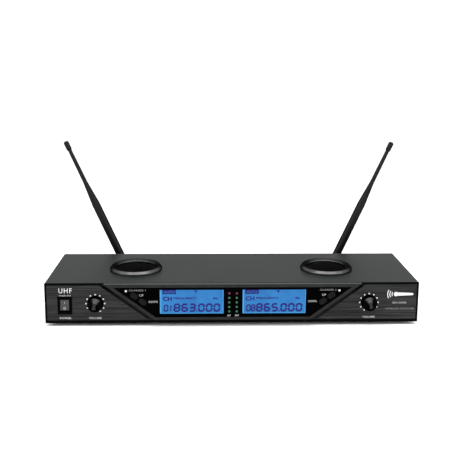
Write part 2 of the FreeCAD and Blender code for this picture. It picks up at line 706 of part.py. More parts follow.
def make_front_frame():
    """Moulded frame: a wall behind the trim, a rim round it and bosses for its screws."""
    body = new_body("front_frame")
    knobs = [(way * KNOB_X, KNOB_Z, BUSH_HOLE) for way in (-1, 1)]
    opening = trapezoid(WINDOW_BOTTOM + 0.6, WINDOW_TOP - 0.6, -1.5)
    pad(body, "XZ_Plane", -(PLATE + FRAME_WALL), FRAME_WALL,
        rectangle((-HALF, HALF), (FLOOR, FRAME_TOP)), *knobs, switch_cutout(), opening)
    pad(body, "XZ_Plane", -PLATE, PLATE, rectangle((-HALF, HALF), (FLOOR, TOP)),
        rectangle((RIM_SIDE - HALF, HALF - RIM_SIDE), (PANEL_BOTTOM, PANEL_TOP)))
    pad(body, "XZ_Plane", -FRAME_DEPTH, FRAME_DEPTH - PLATE - FRAME_WALL,
        rectangle((-HALF, HALF), (FLOOR, FRAME_TOP)),
        rectangle((RIM_SIDE - HALF, HALF - RIM_SIDE), (FLOOR + RIM_SIDE, FRAME_TOP - RIM_SIDE)))
    seat = FLOOR + STEEL + 0.05
    for x, deep in FRAME_SCREW_PLACES:
        start = PLATE + FRAME_WALL
        pad(body, "XY_Plane", seat, BOSS_HEIGHT,
            rectangle((x - BOSS_HALF, x + BOSS_HALF), (start, deep + BOSS_HALF)))
    holes = [(x, deep, TAP_HOLE) for x, deep in FRAME_SCREW_PLACES]
    pocket(body, "XY_Plane", seat + BOSS_HEIGHT - 1, 14, *holes)


def switch_cutout():
    """Outline of the hole that the power switch snaps into."""
    reach_x, reach_z = SWITCH_BOX_X + SWITCH_FIT, SWITCH_BOX_Z + SWITCH_FIT
    return rectangle((-SWITCH_X - reach_x, -SWITCH_X + reach_x),
                     (SWITCH_Z - reach_z, SWITCH_Z + reach_z))


def make_trim_plate(side, way):
    """Brushed plate beside the window; the left one has the power switch's cut-out."""
    outward = CREST_WIDTH + BEVEL_RUN - BEZEL_LAP + GAP
    low, high = PANEL_BOTTOM + 0.1, PANEL_TOP - 0.1
    far = HALF - RIM_SIDE - 0.1
    outline = [(way * far, low), (way * window_edge(low, outward), low),
               (way * window_edge(high, outward), high), (way * far, high)]
    holes = [(way * KNOB_X, KNOB_Z, BUSH_HOLE)]
    if way < 0:
        holes.append(switch_cutout())
    body = new_body(f"trim_plate_{side}")
    pad(body, "XZ_Plane", -PLATE, PLATE, outline, *holes)


def make_display_bezel():
    """Raised frame of the window: bevelled at its slanted sides, with a ledge for the pane."""
    body = new_body("display_bezel")
    foot, crest = CREST_WIDTH + BEVEL_RUN, CREST_WIDTH
    levels = (BEZEL_BOTTOM, PANEL_TOP, BEZEL_TOP)
    foot_x = [window_edge(levels[0], foot), window_edge(levels[1], foot),
              window_edge(levels[2], crest) + 0.2]
    crest_x = [window_edge(level, crest) for level in levels]
    outlines = [[(-x, z) for x, z in zip(half, levels)][::-1] + list(zip(half, levels))
                for half in (foot_x, crest_x)]
    loft = body.newObject("PartDesign::AdditiveLoft", "Loft")
    loft.Profile = draw(body, "XZ_Plane", 0, [outlines[0]])
    loft.Sections = [draw(body, "XZ_Plane", BEZEL_RISE, [outlines[1]])]
    loft.Ruled = True
    pad(body, "XZ_Plane", -PLATE, PLATE,
        trapezoid(BEZEL_BOTTOM, PANEL_TOP - GAP, CREST_WIDTH + BEVEL_RUN - BEZEL_LAP))
    pocket(body, "XZ_Plane", BEZEL_RISE + 1, BEZEL_RISE + PLATE + 2,
           trapezoid(WINDOW_BOTTOM + LEDGE, WINDOW_TOP - LEDGE, -LEDGE))
    pocket(body, "XZ_Plane", BEZEL_RISE + 1, WINDOW_INSET + WINDOW_THICKNESS + 1,
           trapezoid(WINDOW_BOTTOM - 0.1, WINDOW_TOP + 0.1, 0.1))
    soften(body, 0.6, lambda edge: lies_at_depth(edge, -BEZEL_RISE))


def make_display_window():
    """Dark glossy pane, with an opening for each button, display and lamp."""
    pane = new_body(None)
    pad(pane, "XZ_Plane", -PANE_BACK, WINDOW_THICKNESS, trapezoid(WINDOW_BOTTOM, WINDOW_TOP, 0))
    start, cut = 1 - PANE_BACK + WINDOW_THICKNESS, WINDOW_THICKNESS + 2
    reach_x, reach_z = LCD_WIDTH / 2 - LCD_OVERLAP, LCD_HEIGHT / 2 - LCD_OVERLAP
    pocket(pane, "XZ_Plane", start, cut,
           *[rectangle((way * LCD_X - reach_x, way * LCD_X + reach_x),
                       (LCD_Z - reach_z, LCD_Z + reach_z)) for way in (-1, 1)])
    pocket(pane, "XZ_Plane", start, cut, *[(x, z, LED_RADIUS + LED_GAP) for x, z in LAMP_PLACES])
    extra = 2 * BUTTON_GAP
    holes = [pill(x, z, BUTTON_LONG + extra, BUTTON_WIDE + extra,
                  PANE_BACK - WINDOW_THICKNESS - 1, PANE_BACK + 1, way)
             for _, way, x, z in BUTTONS]
    node("display_window", remove(pane, *holes))


def make_buttons():
    """Rubbery keys that stand proud of the pane, held by a flange behind it."""
    extra = 2 * BUTTON_FLANGE
    for name, way, x, z in BUTTONS:
        face = pill(x, z, BUTTON_LONG, BUTTON_WIDE, BUTTON_FRONT, BUTTON_BACK - GAP, way)
        flange = pill(x, z, BUTTON_LONG + extra, BUTTON_WIDE + extra, PANE_BACK + 0.35,
                      BUTTON_BACK, way)
        stem = rod("y", (x, z), BUTTON_STEM, BUTTON_BACK - GAP, BUTTON_STEM_END)
        node(name, join(face, flange, stem))


def make_displays():
    """Two display modules, their backlights and the board that carries them."""
    for side, way in SIDES.items():
        x = (way * LCD_X - LCD_WIDTH / 2, way * LCD_X + LCD_WIDTH / 2)
        z = (LCD_Z - LCD_HEIGHT / 2, LCD_Z + LCD_HEIGHT / 2)
        node(f"lcd_glass_{side}", block(x, (LCD_FRONT, LCD_BACK), z))
    lights = []
    for way in (-1, 1):
        x = (way * LCD_X - LCD_WIDTH / 2 + 1, way * LCD_X + LCD_WIDTH / 2 - 1)
        z = (LCD_Z - LCD_HEIGHT / 2 + 0.6, LCD_Z + LCD_HEIGHT / 2 - 0.6)
        lights.append(block(x, (BACKLIGHT_FRONT, BOARD_FRONT), z))
    node("lcd_backlights", gather(lights))
    board = block((-BOARD_HALF, BOARD_HALF), (BOARD_FRONT, BOARD_FRONT + BOARD),
                  (BOARD_LOW, FRAME_TOP - RIM_SIDE - 0.5))
    holes = [rod("y", centre, FLANGE_SCREW_HOLE, BOARD_FRONT - 1, BOARD_FRONT + BOARD + 1)
             for centre in DISPLAY_SCREWS]
    node("display_board", remove(board, *holes))


def led(x, z):
    """A round 3 mm lamp with a domed front and a flange on the board."""
    stem = rod("y", (x, z), LED_RADIUS, LED_DOME, BOARD_FRONT)
    flange = rod("y", (x, z), LED_RADIUS + LED_FLANGE, BOARD_FRONT - LED_FLANGE_DEPTH, BOARD_FRONT)
    return join(stem, flange, ball(x, LED_DOME, z, LED_RADIUS))


def make_leds():
    """Two level meters of a red lamp over four green ones, and a lamp for each well."""
    colours = {"green": GREEN_PLACES, "red": RED_PLACES, "charge": CHARGE_LED_PLACES}
    for name, places in colours.items():
        node(f"{name}_leds", gather([led(x, z) for x, z in places]))


def make_tact_switches():
    """Small push switches on the board behind the four keys."""
    switches = []
    for _, _, x, z in BUTTONS:
        base = block((x - TACT_HALF, x + TACT_HALF), (TACT_FRONT, BOARD_FRONT),
                     (z - TACT_HALF, z + TACT_HALF))
        switches.append(join(base, rod("y", (x, z), TACT_PLUNGER, TACT_TIP, TACT_FRONT)))
    node("tact_switches", gather(switches))


def make_volume_controls():
    """Two potentiometers with nuts under their knobs."""
    start = PLATE + FRAME_WALL
    pots, nuts = [], []
    for side, way in SIDES.items():
        centre = (way * KNOB_X, KNOB_Z)
        case = block((centre[0] - 8, centre[0] + 8), (start + 0.1, start + 9),
                     (KNOB_Z - 9, KNOB_Z + 8))
        bush = rod("y", centre, BUSH_RADIUS, size(-2.3), start + 1)
        bore = rod("y", centre, SHAFT_RADIUS + RUNNING, size(-4), start + 8)
        pots.append(remove(join(case, bush), bore))
        nuts.append(make_nut(centre, size(-2), 0, 5.5, BUSH_RADIUS + 0.05))
        make_knob(side, way)
    node("volume_pots", gather(pots))
    node("pot_nuts", gather(nuts))


def make_nut(centre, low, high, radius, bore):
    """A hexagonal nut along the depth of the unit."""
    prism = doc.addObject("Part::Prism", "Hexagon")
    prism.Polygon = 6
    bind(prism, "Circumradius", radius)
    bind(prism, "Height", size(high) - low)
    along(prism, "y", centre, low)
    return remove(prism, rod("y", centre, bore, size(low) - 1, size(high) + 1))


def make_knob(side, way):
    """Round knob with a waisted grip bar between two scoops, and the shaft that it turns."""
    turn = (Vector(0, 1, 0), -way * KNOB_TURN)
    body = new_body(f"volume_knob_{side}", way * KNOB_X, 0, KNOB_Z, turn)
    front, side_radius = -KNOB_REACH, KNOB_RADIUS - KNOB_DRAFT
    turn_about(body, "y", [(SHAFT_RADIUS, SHAFT_TIP), (0, SHAFT_TIP), (0, front),
                           (side_radius - KNOB_SLOPE_RUN, front),
                           (side_radius, front + KNOB_SLOPE_FALL), (KNOB_RADIUS, KNOB_SKIRT),
                           (KNOB_CAVITY, KNOB_SKIRT), (KNOB_CAVITY, KNOB_CAVITY_END),
                           (SHAFT_RADIUS, KNOB_CAVITY_END)])
    pocket(body, "XZ_Plane", KNOB_REACH + 1, KNOB_REACH + 1 + KNOB_SCOOP_FLOOR,
           *[(end * (KNOB_SCOOP + KNOB_WAIST), 0, KNOB_SCOOP) for end in (-1, 1)])
    soften(body, 0.5, lambda edge: lies_at_depth(edge, front))
    centre = (way * KNOB_X, KNOB_Z)
    node(f"volume_shaft_{side}", rod("y", centre, SHAFT_RADIUS, SHAFT_TIP, PLATE + FRAME_WALL + 7.5))


def make_power_switch():
    """Snap-in rocker switch: a bezel and box, and a rocker on two trunnions."""
    x, z = -SWITCH_X, SWITCH_Z
    lip = block((x - SWITCH_LIP_X, x + SWITCH_LIP_X), (-SWITCH_LIP, size(0)),
                (z - SWITCH_LIP_Z, z + SWITCH_LIP_Z))
    box = block((x - SWITCH_BOX_X, x + SWITCH_BOX_X), (size(0), SWITCH_DEPTH),
                (z - SWITCH_BOX_Z, z + SWITCH_BOX_Z))
    room_x, room_z = SWITCH_BOX_X - SWITCH_WALL, SWITCH_BOX_Z - SWITCH_WALL
    cavity = block((x - room_x, x + room_x), (-SWITCH_LIP * 2, SWITCH_CAVITY),
                   (z - room_z, z + room_z))
    reach = TRUNNION_REACH + 0.1
    socket = rod("x", (ROCKER_PIVOT, z), TRUNNION + RUNNING, x - reach, x + reach)
    tabs = [block((x - SPADE_HALF, x + SPADE_HALF), (SWITCH_DEPTH - 1, SPADE_END),
                  (z + shift - SPADE_THICK, z + shift + SPADE_THICK)) for shift in (-5, 0, 5)]
    node("power_switch_body", join(remove(join(lip, box), cavity, socket), *tabs))
    rocker = new_body("power_rocker", x, ROCKER_PIVOT, z, (Vector(-1, 0, 0), ROCKER_TILT))
    half = [(-5, 5.8), (-2, 6.2), (3, 3)]
    lower = [(deep, -z_edge) for deep, z_edge in half][::-1]
    pad(rocker, "YZ_Plane", -ROCKER_HALF, 2 * ROCKER_HALF, [(-4, 0)] + half + lower)
    pad(rocker, "YZ_Plane", -TRUNNION_REACH, 2 * TRUNNION_REACH, (0, 0, TRUNNION))


# ---------------------------------------------------------------- charging wells

def make_wells():
    """Charging wells: a cup under the cover, a ring on it, sprung pins and a small board."""
    rings, cups, boards = [], [], []
    ring_top = TOP + RING_RISE
    for side, way in SIDES.items():
        x = way * WELL_X
        ring = new_body(None, x, WELL_DEEP, 0)
        turn_about(ring, "z", [(RING_INNER, TOP), (RING_OUTER, TOP), (RING_OUTER, TOP + RING_EDGE),
                               (RING_CREST, ring_top), (RING_INNER, ring_top - RING_DIP)])
        soften(ring, RING_FILLET, lambda edge: edge.Curve.TypeId == "Part::GeomCircle"
               and edge.CenterOfMass.z > TOP.value + 0.5)
        rings.append(ring)
        cup = new_body(None, x, WELL_DEEP, 0)
        outer = WELL_RADIUS + CUP_WALL
        turn_about(cup, "z", [(0, WELL_FLOOR - 2), (outer, WELL_FLOOR - 2),
                              (outer, FRAME_TOP - CUP_FLANGE_THICK),
                              (outer + CUP_FLANGE, FRAME_TOP - CUP_FLANGE_THICK),
                              (outer + CUP_FLANGE, FRAME_TOP), (outer, FRAME_TOP),
                              (outer, TOP - 0.1), (WELL_RADIUS, TOP - 0.1),
                              (WELL_RADIUS, WELL_SEAT), (WELL_RADIUS - CUP_STEP, WELL_SEAT),
                              (WELL_RADIUS - CUP_STEP, WELL_FLOOR), (0, WELL_FLOOR)])
        pocket(cup, "XY_Plane", WELL_FLOOR + 1, 4,
               *[(step * PIN_PITCH, 0, PIN_RADIUS + 0.3) for step in (-1, 0, 1)])
        cups.append(cup)
        boards.append(make_charge_board(x))
        node(f"charge_pins_{side}", gather([make_charge_pin(x + step * PIN_PITCH)
                                            for step in (-1, 0, 1)]))
    node("charger_rings", gather(rings))
    node("charger_cups", gather(cups))
    node("charge_boards", gather(boards))


def make_charge_pin(x):
    centre = (x, WELL_DEEP)
    tip = WELL_FLOOR + PIN_RISE
    return join(rod("z", centre, PIN_RADIUS, PIN_LOW, tip), ball(x, WELL_DEEP, tip, PIN_RADIUS))


def make_charge_board(x):
    """A small board on two spacers, with the barrels that the pins slide in."""
    top = CHARGE_BOARD_LOW + BOARD
    board = block((x - CHARGE_BOARD_X, x + CHARGE_BOARD_X),
                  (WELL_DEEP - CHARGE_BOARD_Y, WELL_DEEP + CHARGE_BOARD_Y), (CHARGE_BOARD_LOW, top))
    spacers = [rod("z", (x + side * SPACER_X, WELL_DEEP), STANDOFF_RADIUS, FLOOR + STEEL,
                   CHARGE_BOARD_LOW + GAP) for side in (-1, 1)]
    pins = [(x + step * PIN_PITCH, WELL_DEEP) for step in (-1, 0, 1)]
    barrels = [rod("z", pin, PIN_RADIUS + BARREL_WALL, top - GAP, BARREL_TOP) for pin in pins]
    bores = [rod("z", pin, PIN_RADIUS + RUNNING, top, BARREL_TOP + 1) for pin in pins]
    return remove(join(board, *spacers, *barrels), *bores)


# ---------------------------------------------------------------- electronics

def make_electronics():
    """Main board on standoffs, with its tuners' cans, capacitors and regulator heatsink."""
    top = MAIN_BOARD_Z + BOARD
    board = block((-MAIN_BOARD_HALF, MAIN_BOARD_HALF), (MAIN_BOARD_START, MAIN_BOARD_END),
                  (MAIN_BOARD_Z, top))
    holes = [rod("z", centre, FLANGE_SCREW_HOLE, MAIN_BOARD_Z - 1, top + 1)
             for centre in BOARD_PLACES]
    node("main_board", remove(board, *holes))
    pillars = [remove(rod("z", centre, STANDOFF_RADIUS, FLOOR + STEEL, MAIN_BOARD_Z),
                      rod("z", centre, SCREW_RADIUS, MAIN_BOARD_Z - 4.5, MAIN_BOARD_Z + 1))
               for centre in BOARD_PLACES]
    pillars += [remove(rod("y", centre, STANDOFF_RADIUS, PLATE + FRAME_WALL, BOARD_FRONT),
                       rod("y", centre, SCREW_RADIUS, PLATE + FRAME_WALL + GAP, BOARD_FRONT + 1))
                for centre in DISPLAY_SCREWS]
    node("standoffs", gather(pillars))
    screws = [pan_screw("z", centre, top, -1, 5.5) for centre in BOARD_PLACES]
    screws += [pan_screw("y", centre, BOARD_FRONT + BOARD, -1, 2.4) for centre in DISPLAY_SCREWS]
    node("board_screws", gather(screws))
    node("shield_cans", gather([make_shield_can(way * CAN_X, top) for way in (-1, 1)]))
    node("capacitors", gather([rod("z", centre, CAPACITOR_RADIUS, top, top + CAPACITOR_HEIGHT)
                               for centre in CAPACITOR_PLACES]))
    base = block((SINK_X, SINK_X + SINK_WIDTH), (SINK_DEEP, SINK_DEEP + SINK_BASE),
                 (top, top + SINK_HEIGHT))
    fins = [block((x - SINK_FIN, x + SINK_FIN), (SINK_DEEP + SINK_BASE - 0.5, SINK_FIN_END),
                  (top, top + SINK_HEIGHT))
            for x in (SINK_X + SINK_FIN + SINK_PITCH * step for step in range(5))]
    node("heatsink", join(base, *fins))


def make_shield_can(x, top):
    """A thin metal lid, open underneath, over one tuner."""
    room_x, room_y = CAN_HALF_X - CAN_WALL, CAN_HALF_Y - CAN_WALL
    shell = block((x - CAN_HALF_X, x + CAN_HALF_X), (CAN_DEEP - CAN_HALF_Y, CAN_DEEP + CAN_HALF_Y),
                  (top, top + CAN_HEIGHT))
    inside = block((x - room_x, x + room_x), (CAN_DEEP - room_y, CAN_DEEP + room_y),
                   (top - 1, top + CAN_HEIGHT - CAN_WALL))
    return remove(shell, inside)


# ---------------------------------------------------------------- rear connectors

def make_xlr_outputs():
    """Two three-pin male sockets, recessed behind their flanges."""
    shells, pins, screws = [], [], []
    mouth, floor_deep, tip = BACK + XLR_FLANGE, BACK - XLR_FLOOR, BACK - XLR_PIN_END
    for way in (-1, 1):
        x = way * XLR_X
        screw_places = [(x + side * XLR_SCREW_X, XLR_Z + side * XLR_SCREW_Z) for side in (-1, 1)]
        pin_places = [(x - 5.2, XLR_Z + 3), (x + 5.2, XLR_Z + 3), (x, XLR_Z - 6)]
        tube = rod("y", (x, XLR_Z), XLR_BORE + XLR_WALL, floor_deep - 4, mouth)
        flange = block((x - XLR_FLANGE_X, x + XLR_FLANGE_X), (BACK, mouth),
                       (XLR_Z - XLR_FLANGE_Z, XLR_Z + XLR_FLANGE_Z))
        bore = rod("y", (x, XLR_Z), XLR_BORE, floor_deep, mouth + 1)
        holes = [rod("y", centre, FLANGE_SCREW_HOLE, BACK - 1, mouth + 1)
                 for centre in screw_places]
        sockets = [rod("y", centre, XLR_PIN, floor_deep - 5, floor_deep + 1)
                   for centre in pin_places]
        shells.append(remove(join(tube, flange), bore, *holes, *sockets))
        pins += [join(rod("y", centre, XLR_PIN, floor_deep - 7, tip),
                      ball(centre[0], tip, centre[1], XLR_PIN)) for centre in pin_places]
        screws += [pan_screw("y", centre, mouth, -1, 6) for centre in screw_places]
    node("xlr_shells", gather(shells))
    node("xlr_pins", gather(pins))
    node("connector_screws", gather(screws))


def make_small_sockets():
    """The 6.35 mm line output and the supply inlet."""
    middle = (size(0), XLR_Z)
    body = block((-JACK_X, JACK_X), (REAR_INNER - JACK_LENGTH, REAR_INNER),
                 (XLR_Z - JACK_Z, XLR_Z + JACK_Z))
    bush = rod("y", middle, JACK_BUSH, REAR_INNER - 1, BACK + 4)
    collar = make_nut(middle, BACK, BACK + 2, 6.4, JACK_BUSH - 0.1)
    bore = rod("y", middle, JACK_BORE, BACK - 26, BACK + 5)
    node("line_jack", remove(join(body, bush, collar), bore))
    middle = (INLET_X, XLR_Z)
    box = block((INLET_X - INLET_HALF, INLET_X + INLET_HALF), (REAR_INNER - INLET_LENGTH, REAR_INNER),
                (XLR_Z - INLET_HALF_Z, XLR_Z + INLET_HALF_Z))
    neck = rod("y", middle, INLET_BUSH, REAR_INNER - 1, BACK + 3)
    nut = make_nut(middle, BACK, BACK + 2, 5.8, INLET_BUSH - 0.1)
    hole = rod("y", middle, INLET_BORE, BACK - 8, BACK + 4)
    contact = rod("y", middle, INLET_PIN, BACK - 8.5, BACK + 1)
    node("dc_inlet", join(remove(join(box, neck, nut), hole), contact))


# ---------------------------------------------------------------- antennas

def make_antenna_sockets():
    """Bayonet sockets of the two antennas, with the nuts that hold them."""
    jacks, nuts = [], []
    for way in (-1, 1):
        centre = (way * BNC_X, BNC_Z)
        rear = BACK + BNC_LENGTH
        shell = rod("y", centre, BNC_SHELL, BACK - 10, rear)
        collar = rod("y", centre, BNC_COLLAR, BACK - 4.5, REAR_INNER)
        bore = rod("y", centre, BNC_BORE, BACK + 2, rear + 1)
        core = rod("y", centre, BNC_CORE, BACK + 1, rear - 2)
        contact = rod("y", centre, BNC_CONTACT, BACK + 3, rear)
        lugs = rod("x", (BACK + BNC_LUG_DEEP, BNC_Z), BNC_LUG,
                   centre[0] - BNC_LUG_REACH, centre[0] + BNC_LUG_REACH)
        lug_room = rod("y", centre, BNC_BORE, BACK + 5, rear)
        lugs = remove(lugs, lug_room)
        jacks.append(join(remove(shell, bore), collar, lugs, remove(core, contact)))
        nuts.append(make_nut(centre, BACK, BACK + 2.4, 7.4, BNC_SHELL + 0.05))
    node("bnc_jacks", gather(jacks))
    node("bnc_nuts", gather(nuts))


def make_antenna_collar(centre):
    """Bayonet collar: a tube over the socket's lugs with a wall behind the plug's flange."""
    tube = rod("y", centre, COLLAR_RADIUS, BACK + 2.9, BACK + 16)
    room = rod("y", centre, COLLAR_BORE, BACK + 2, BACK + 14.6)
    neck = rod("y", centre, COLLAR_NECK, BACK + 14, BACK + 17)
    return remove(tube, room, neck)


def make_antenna(side, way):
    """One elbow antenna: collar, plug with two ears, hinge pin, tapered whip and its tip."""
    x, z, pivot = way * BNC_X, BNC_Z, BACK + PIVOT_REACH
    centre = (x, z)
    spot = (x, pivot, z, (Vector(0, 1, 0), way * ANTENNA_TILT))
    node(f"antenna_collar_{side}", make_antenna_collar(centre))

    fork = new_body(None, *spot)
    ear = EAR_RADIUS
    pad(fork, "XZ_Plane", EAR_ROOT - 0.1, 1.2, rectangle((-ear, ear), (-ear, ear)))
    for inner in (EAR_GAP, -EAR_GAP - EAR_WIDTH):
        pad(fork, "YZ_Plane", inner, EAR_WIDTH, rectangle((-EAR_ROOT, 0), (-ear, ear)))
        pad(fork, "YZ_Plane", inner, EAR_WIDTH, (0, 0, ear))
    pocket(fork, "YZ_Plane", HINGE_HALF + 1, 2 * HINGE_HALF + 2, (0, 0, HINGE_PIN))
    stub = [rod("y", centre, size(4), BACK + 4.5, BACK + 13.4),
            rod("y", centre, size(5.6), BACK + 12.8, BACK + 14.2),
            rod("y", centre, COLLAR_NECK - 0.1, BACK + 13.8, pivot - EAR_ROOT)]
    hollow = rod("y", centre, size(3.1), BACK + 4, BACK + 12.2)
    node(f"antenna_plug_{side}", remove(join(*stub, fork), hollow))

    pin = new_body(f"antenna_pin_{side}", *spot)
    pad(pin, "YZ_Plane", -HINGE_HALF, 2 * HINGE_HALF, (0, 0, HINGE_PIN))

    whip = new_body(f"antenna_whip_{side}", *spot)
    pad(whip, "YZ_Plane", -KNUCKLE_HALF, 2 * KNUCKLE_HALF, (0, 0, KNUCKLE_RADIUS))
    pad(whip, "YZ_Plane", -KNUCKLE_HALF, 2 * KNUCKLE_HALF,
        rectangle((-KNUCKLE_RADIUS, KNUCKLE_RADIUS), (0, 5.8)))
    rod_end = WHIP_LENGTH - TIP_LENGTH
    turn_about(whip, "z", [(0, 5.5), (WHIP_NECK, 5.5), (WHIP_RADIUS, 7),
                           (WHIP_RADIUS - 0.25, WHIP_TAPER_START), (WHIP_SLIM, WHIP_TAPER_END),
                           (WHIP_END, rod_end), (0, rod_end)])
    pocket(whip, "YZ_Plane", 4, 8, (0, 0, HINGE_PIN + RUNNING))

    tip = new_body(f"antenna_tip_{side}", *spot)
    turn_about(tip, "z", [(0, rod_end), (WHIP_END, rod_end), (TIP_RADIUS, rod_end + 1.6),
                          (TIP_RADIUS, WHIP_LENGTH - TIP_CHAMFER),
                          (TIP_RADIUS - TIP_CHAMFER, WHIP_LENGTH), (0, WHIP_LENGTH)])


# ---------------------------------------------------------------- build and write

def check_objects():
    """Stop if any object failed or any sub-part isn't one closed, valid shape."""
    failed = [item.Label for item in doc.Objects
              if {"Invalid", "Error"} & set(item.State)]
    if failed:
        raise RuntimeError(f"failed objects: {failed}")
    for name, item in NODES.items():
        if item.Shape.isNull() or not item.Shape.isValid() or not item.Shape.Solids:
            raise RuntimeError(f"bad shape: {name}")


def check_centred():
    """Stop if the origin isn't under the middle of the whole unit."""
    box = FreeCAD.BoundBox()
    for item in NODES.values():
        box.add(item.Shape.BoundBox)
    if max(abs(box.Center.x), abs(box.Center.y), abs(box.ZMin)) > 0.02:
        raise RuntimeError(f"the unit is off its origin: {box}")


make_base_tray()
make_rear_panel()
make_top_cover()
make_feet()
make_case_screws()
make_front_frame()
for side_name, side_way in SIDES.items():
    make_trim_plate(side_name, side_way)
make_display_bezel()
make_display_window()
make_buttons()
make_displays()
make_leds()
make_tact_switches()
make_volume_controls()
make_power_switch()
make_wells()
make_electronics()
make_xlr_outputs()
make_small_sockets()
make_antenna_sockets()
for side_name, side_way in SIDES.items():
    make_antenna(side_name, side_way)

doc.recompute()
check_objects()
check_centred()
os.makedirs("parts", exist_ok=True)
for node_name, node_item in NODES.items():
    node_item.Shape.exportStep(f"parts/{node_name}.step")
print(len(NODES), "sub-parts written")
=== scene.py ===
"""Looks of a two-channel wireless microphone receiver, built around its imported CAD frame.

Everything is in metres, in the frame's own axes: X to the right, Y to the back, Z up from the
floor. Lengths written here are millimetres times MM.
"""
import math

import bmesh
import bpy
from mathutils import Matrix, Vector


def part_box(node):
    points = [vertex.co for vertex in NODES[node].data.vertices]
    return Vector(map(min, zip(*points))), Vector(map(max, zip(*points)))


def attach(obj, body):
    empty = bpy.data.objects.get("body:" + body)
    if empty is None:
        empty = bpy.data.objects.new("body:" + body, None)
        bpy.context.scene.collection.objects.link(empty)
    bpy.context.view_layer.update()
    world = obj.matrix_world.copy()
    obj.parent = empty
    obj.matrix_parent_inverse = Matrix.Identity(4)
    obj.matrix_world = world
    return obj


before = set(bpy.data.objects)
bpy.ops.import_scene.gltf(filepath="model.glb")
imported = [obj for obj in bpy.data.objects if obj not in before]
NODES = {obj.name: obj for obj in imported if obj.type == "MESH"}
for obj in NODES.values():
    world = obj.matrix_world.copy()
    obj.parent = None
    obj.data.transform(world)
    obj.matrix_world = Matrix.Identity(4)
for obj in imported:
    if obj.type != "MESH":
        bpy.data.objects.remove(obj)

bpy.context.view_layer.update()
MM = 0.001
SIDES = {"left": -1, "right": 1}


# ---------------------------------------------------------------- materials

class Shade:
    """A procedural material: one Principled shader and the nodes that drive it.

    Its pattern coordinates are the object's own, which for a CAD node are metres in the frame.
    """

    def __init__(self, name, **sockets):
        self.material = bpy.data.materials.new(name)
        self.material.use_nodes = True
        tree = self.material.node_tree
        self.nodes, self.links = tree.nodes, tree.links
        self.shader = self.nodes["Principled BSDF"]
        self.place = self.nodes.new("ShaderNodeTexCoord").outputs["Object"]
        for socket, value in sockets.items():
            self.shader.inputs[socket.replace("_", " ")].default_value = value

    def link(self, start, end):
        """Drive one socket from another."""
        self.links.new(start, end)

    def noise(self, feature, detail, stretch=(1, 1, 1)):
        """Noise from 0 to 1 whose blobs are about feature metres across, longer where stretched."""
        mapping = self.nodes.new("ShaderNodeMapping")
        mapping.inputs["Scale"].default_value = [1 / (feature * times) for times in stretch]
        self.link(self.place, mapping.inputs["Vector"])
        texture = self.nodes.new("ShaderNodeTexNoise")
        texture.inputs["Scale"].default_value = 1.0
        texture.inputs["Detail"].default_value = detail
        self.link(mapping.outputs["Vector"], texture.inputs["Vector"])
        return texture.outputs["Fac"]

    def spread(self, value, low, high, start=0.3, end=0.7):
        """The value's middle part stretched to run from low to high."""
        node = self.nodes.new("ShaderNodeMapRange")
        node.inputs["From Min"].default_value = start
        node.inputs["From Max"].default_value = end
        node.inputs["To Min"].default_value = low
        node.inputs["To Max"].default_value = high
        self.link(value, node.inputs["Value"])
        return node.outputs["Result"]

    def maths(self, operation, first, second):
        """One arithmetic step between two sockets, or a socket and a number."""
        node = self.nodes.new("ShaderNodeMath")
        node.operation = operation
        for socket, value in zip(node.inputs, (first, second)):
            if isinstance(value, (int, float)):
                socket.default_value = value
            else:
                self.link(value, socket)
        return node.outputs["Value"]

    def mix(self, mask, first, second):
        """A colour that goes from first to second as the mask goes from 0 to 1."""
        node = self.nodes.new("ShaderNodeMix")
        node.data_type = "RGBA"
        self.link(mask, node.inputs["Factor"])
        sockets = [socket for socket in node.inputs if socket.type == "RGBA"]
        for socket, value in zip(sockets, (first, second)):
            if isinstance(value, tuple):
                socket.default_value = (*value, 1)
            else:
                self.link(value, socket)
        return next(socket for socket in node.outputs if socket.type == "RGBA")

    def edges(self, radius):
        """1 near the surface's edges and 0 away from them."""
        bevel = self.nodes.new("ShaderNodeBevel")
        bevel.samples = 4
        bevel.inputs["Radius"].default_value = radius
        face = self.nodes.new("ShaderNodeNewGeometry")
        node = self.nodes.new("ShaderNodeVectorMath")
        node.operation = "DOT_PRODUCT"
        self.link(bevel.outputs["Normal"], node.inputs[0])
        self.link(face.outputs["Normal"], node.inputs[1])
        return self.spread(node.outputs["Value"], 1.0, 0.0, 0.75, 0.98)

    def past(self, axis, places):
        """0 before the first place along an axis and 1 past the second."""
        axes = self.nodes.new("ShaderNodeSeparateXYZ")
        self.link(self.place, axes.inputs["Vector"])
        return self.spread(axes.outputs[axis], 0, 1, *places)

    def colour(self, socket):
        """Drive the colour of the surface."""
        self.link(socket, self.shader.inputs["Base Color"])

    def glow(self, socket):
        """Drive the colour of the light it gives off."""
        self.link(socket, self.shader.inputs["Emission Color"])

    def rough(self, socket):
        """Drive how rough the surface is."""
        self.link(socket, self.shader.inputs["Roughness"])

    def relief(self, height, depth, strength):
        """Bump of that many metres from a height between 0 and 1."""
        bump = self.nodes.new("ShaderNodeBump")
        bump.inputs["Distance"].default_value = depth
        bump.inputs["Strength"].default_value = strength
        self.link(height, bump.inputs["Height"])
        self.link(bump.outputs["Normal"], self.shader.inputs["Normal"])


def tint(colour, times):
    """The colour made darker or lighter."""
    return tuple(channel * times for channel in colour)


# How much paler edges are than the surface round them: rubbed edges on mouldings and satin parts, and
# on the bezel's crest a painted highlight.
MOULDED_WEAR = 1.6
SATIN_WEAR = 1.3
# Painted highlight along the bezel crest's edges.
CREST_EDGE_HIGHLIGHT = 2.2


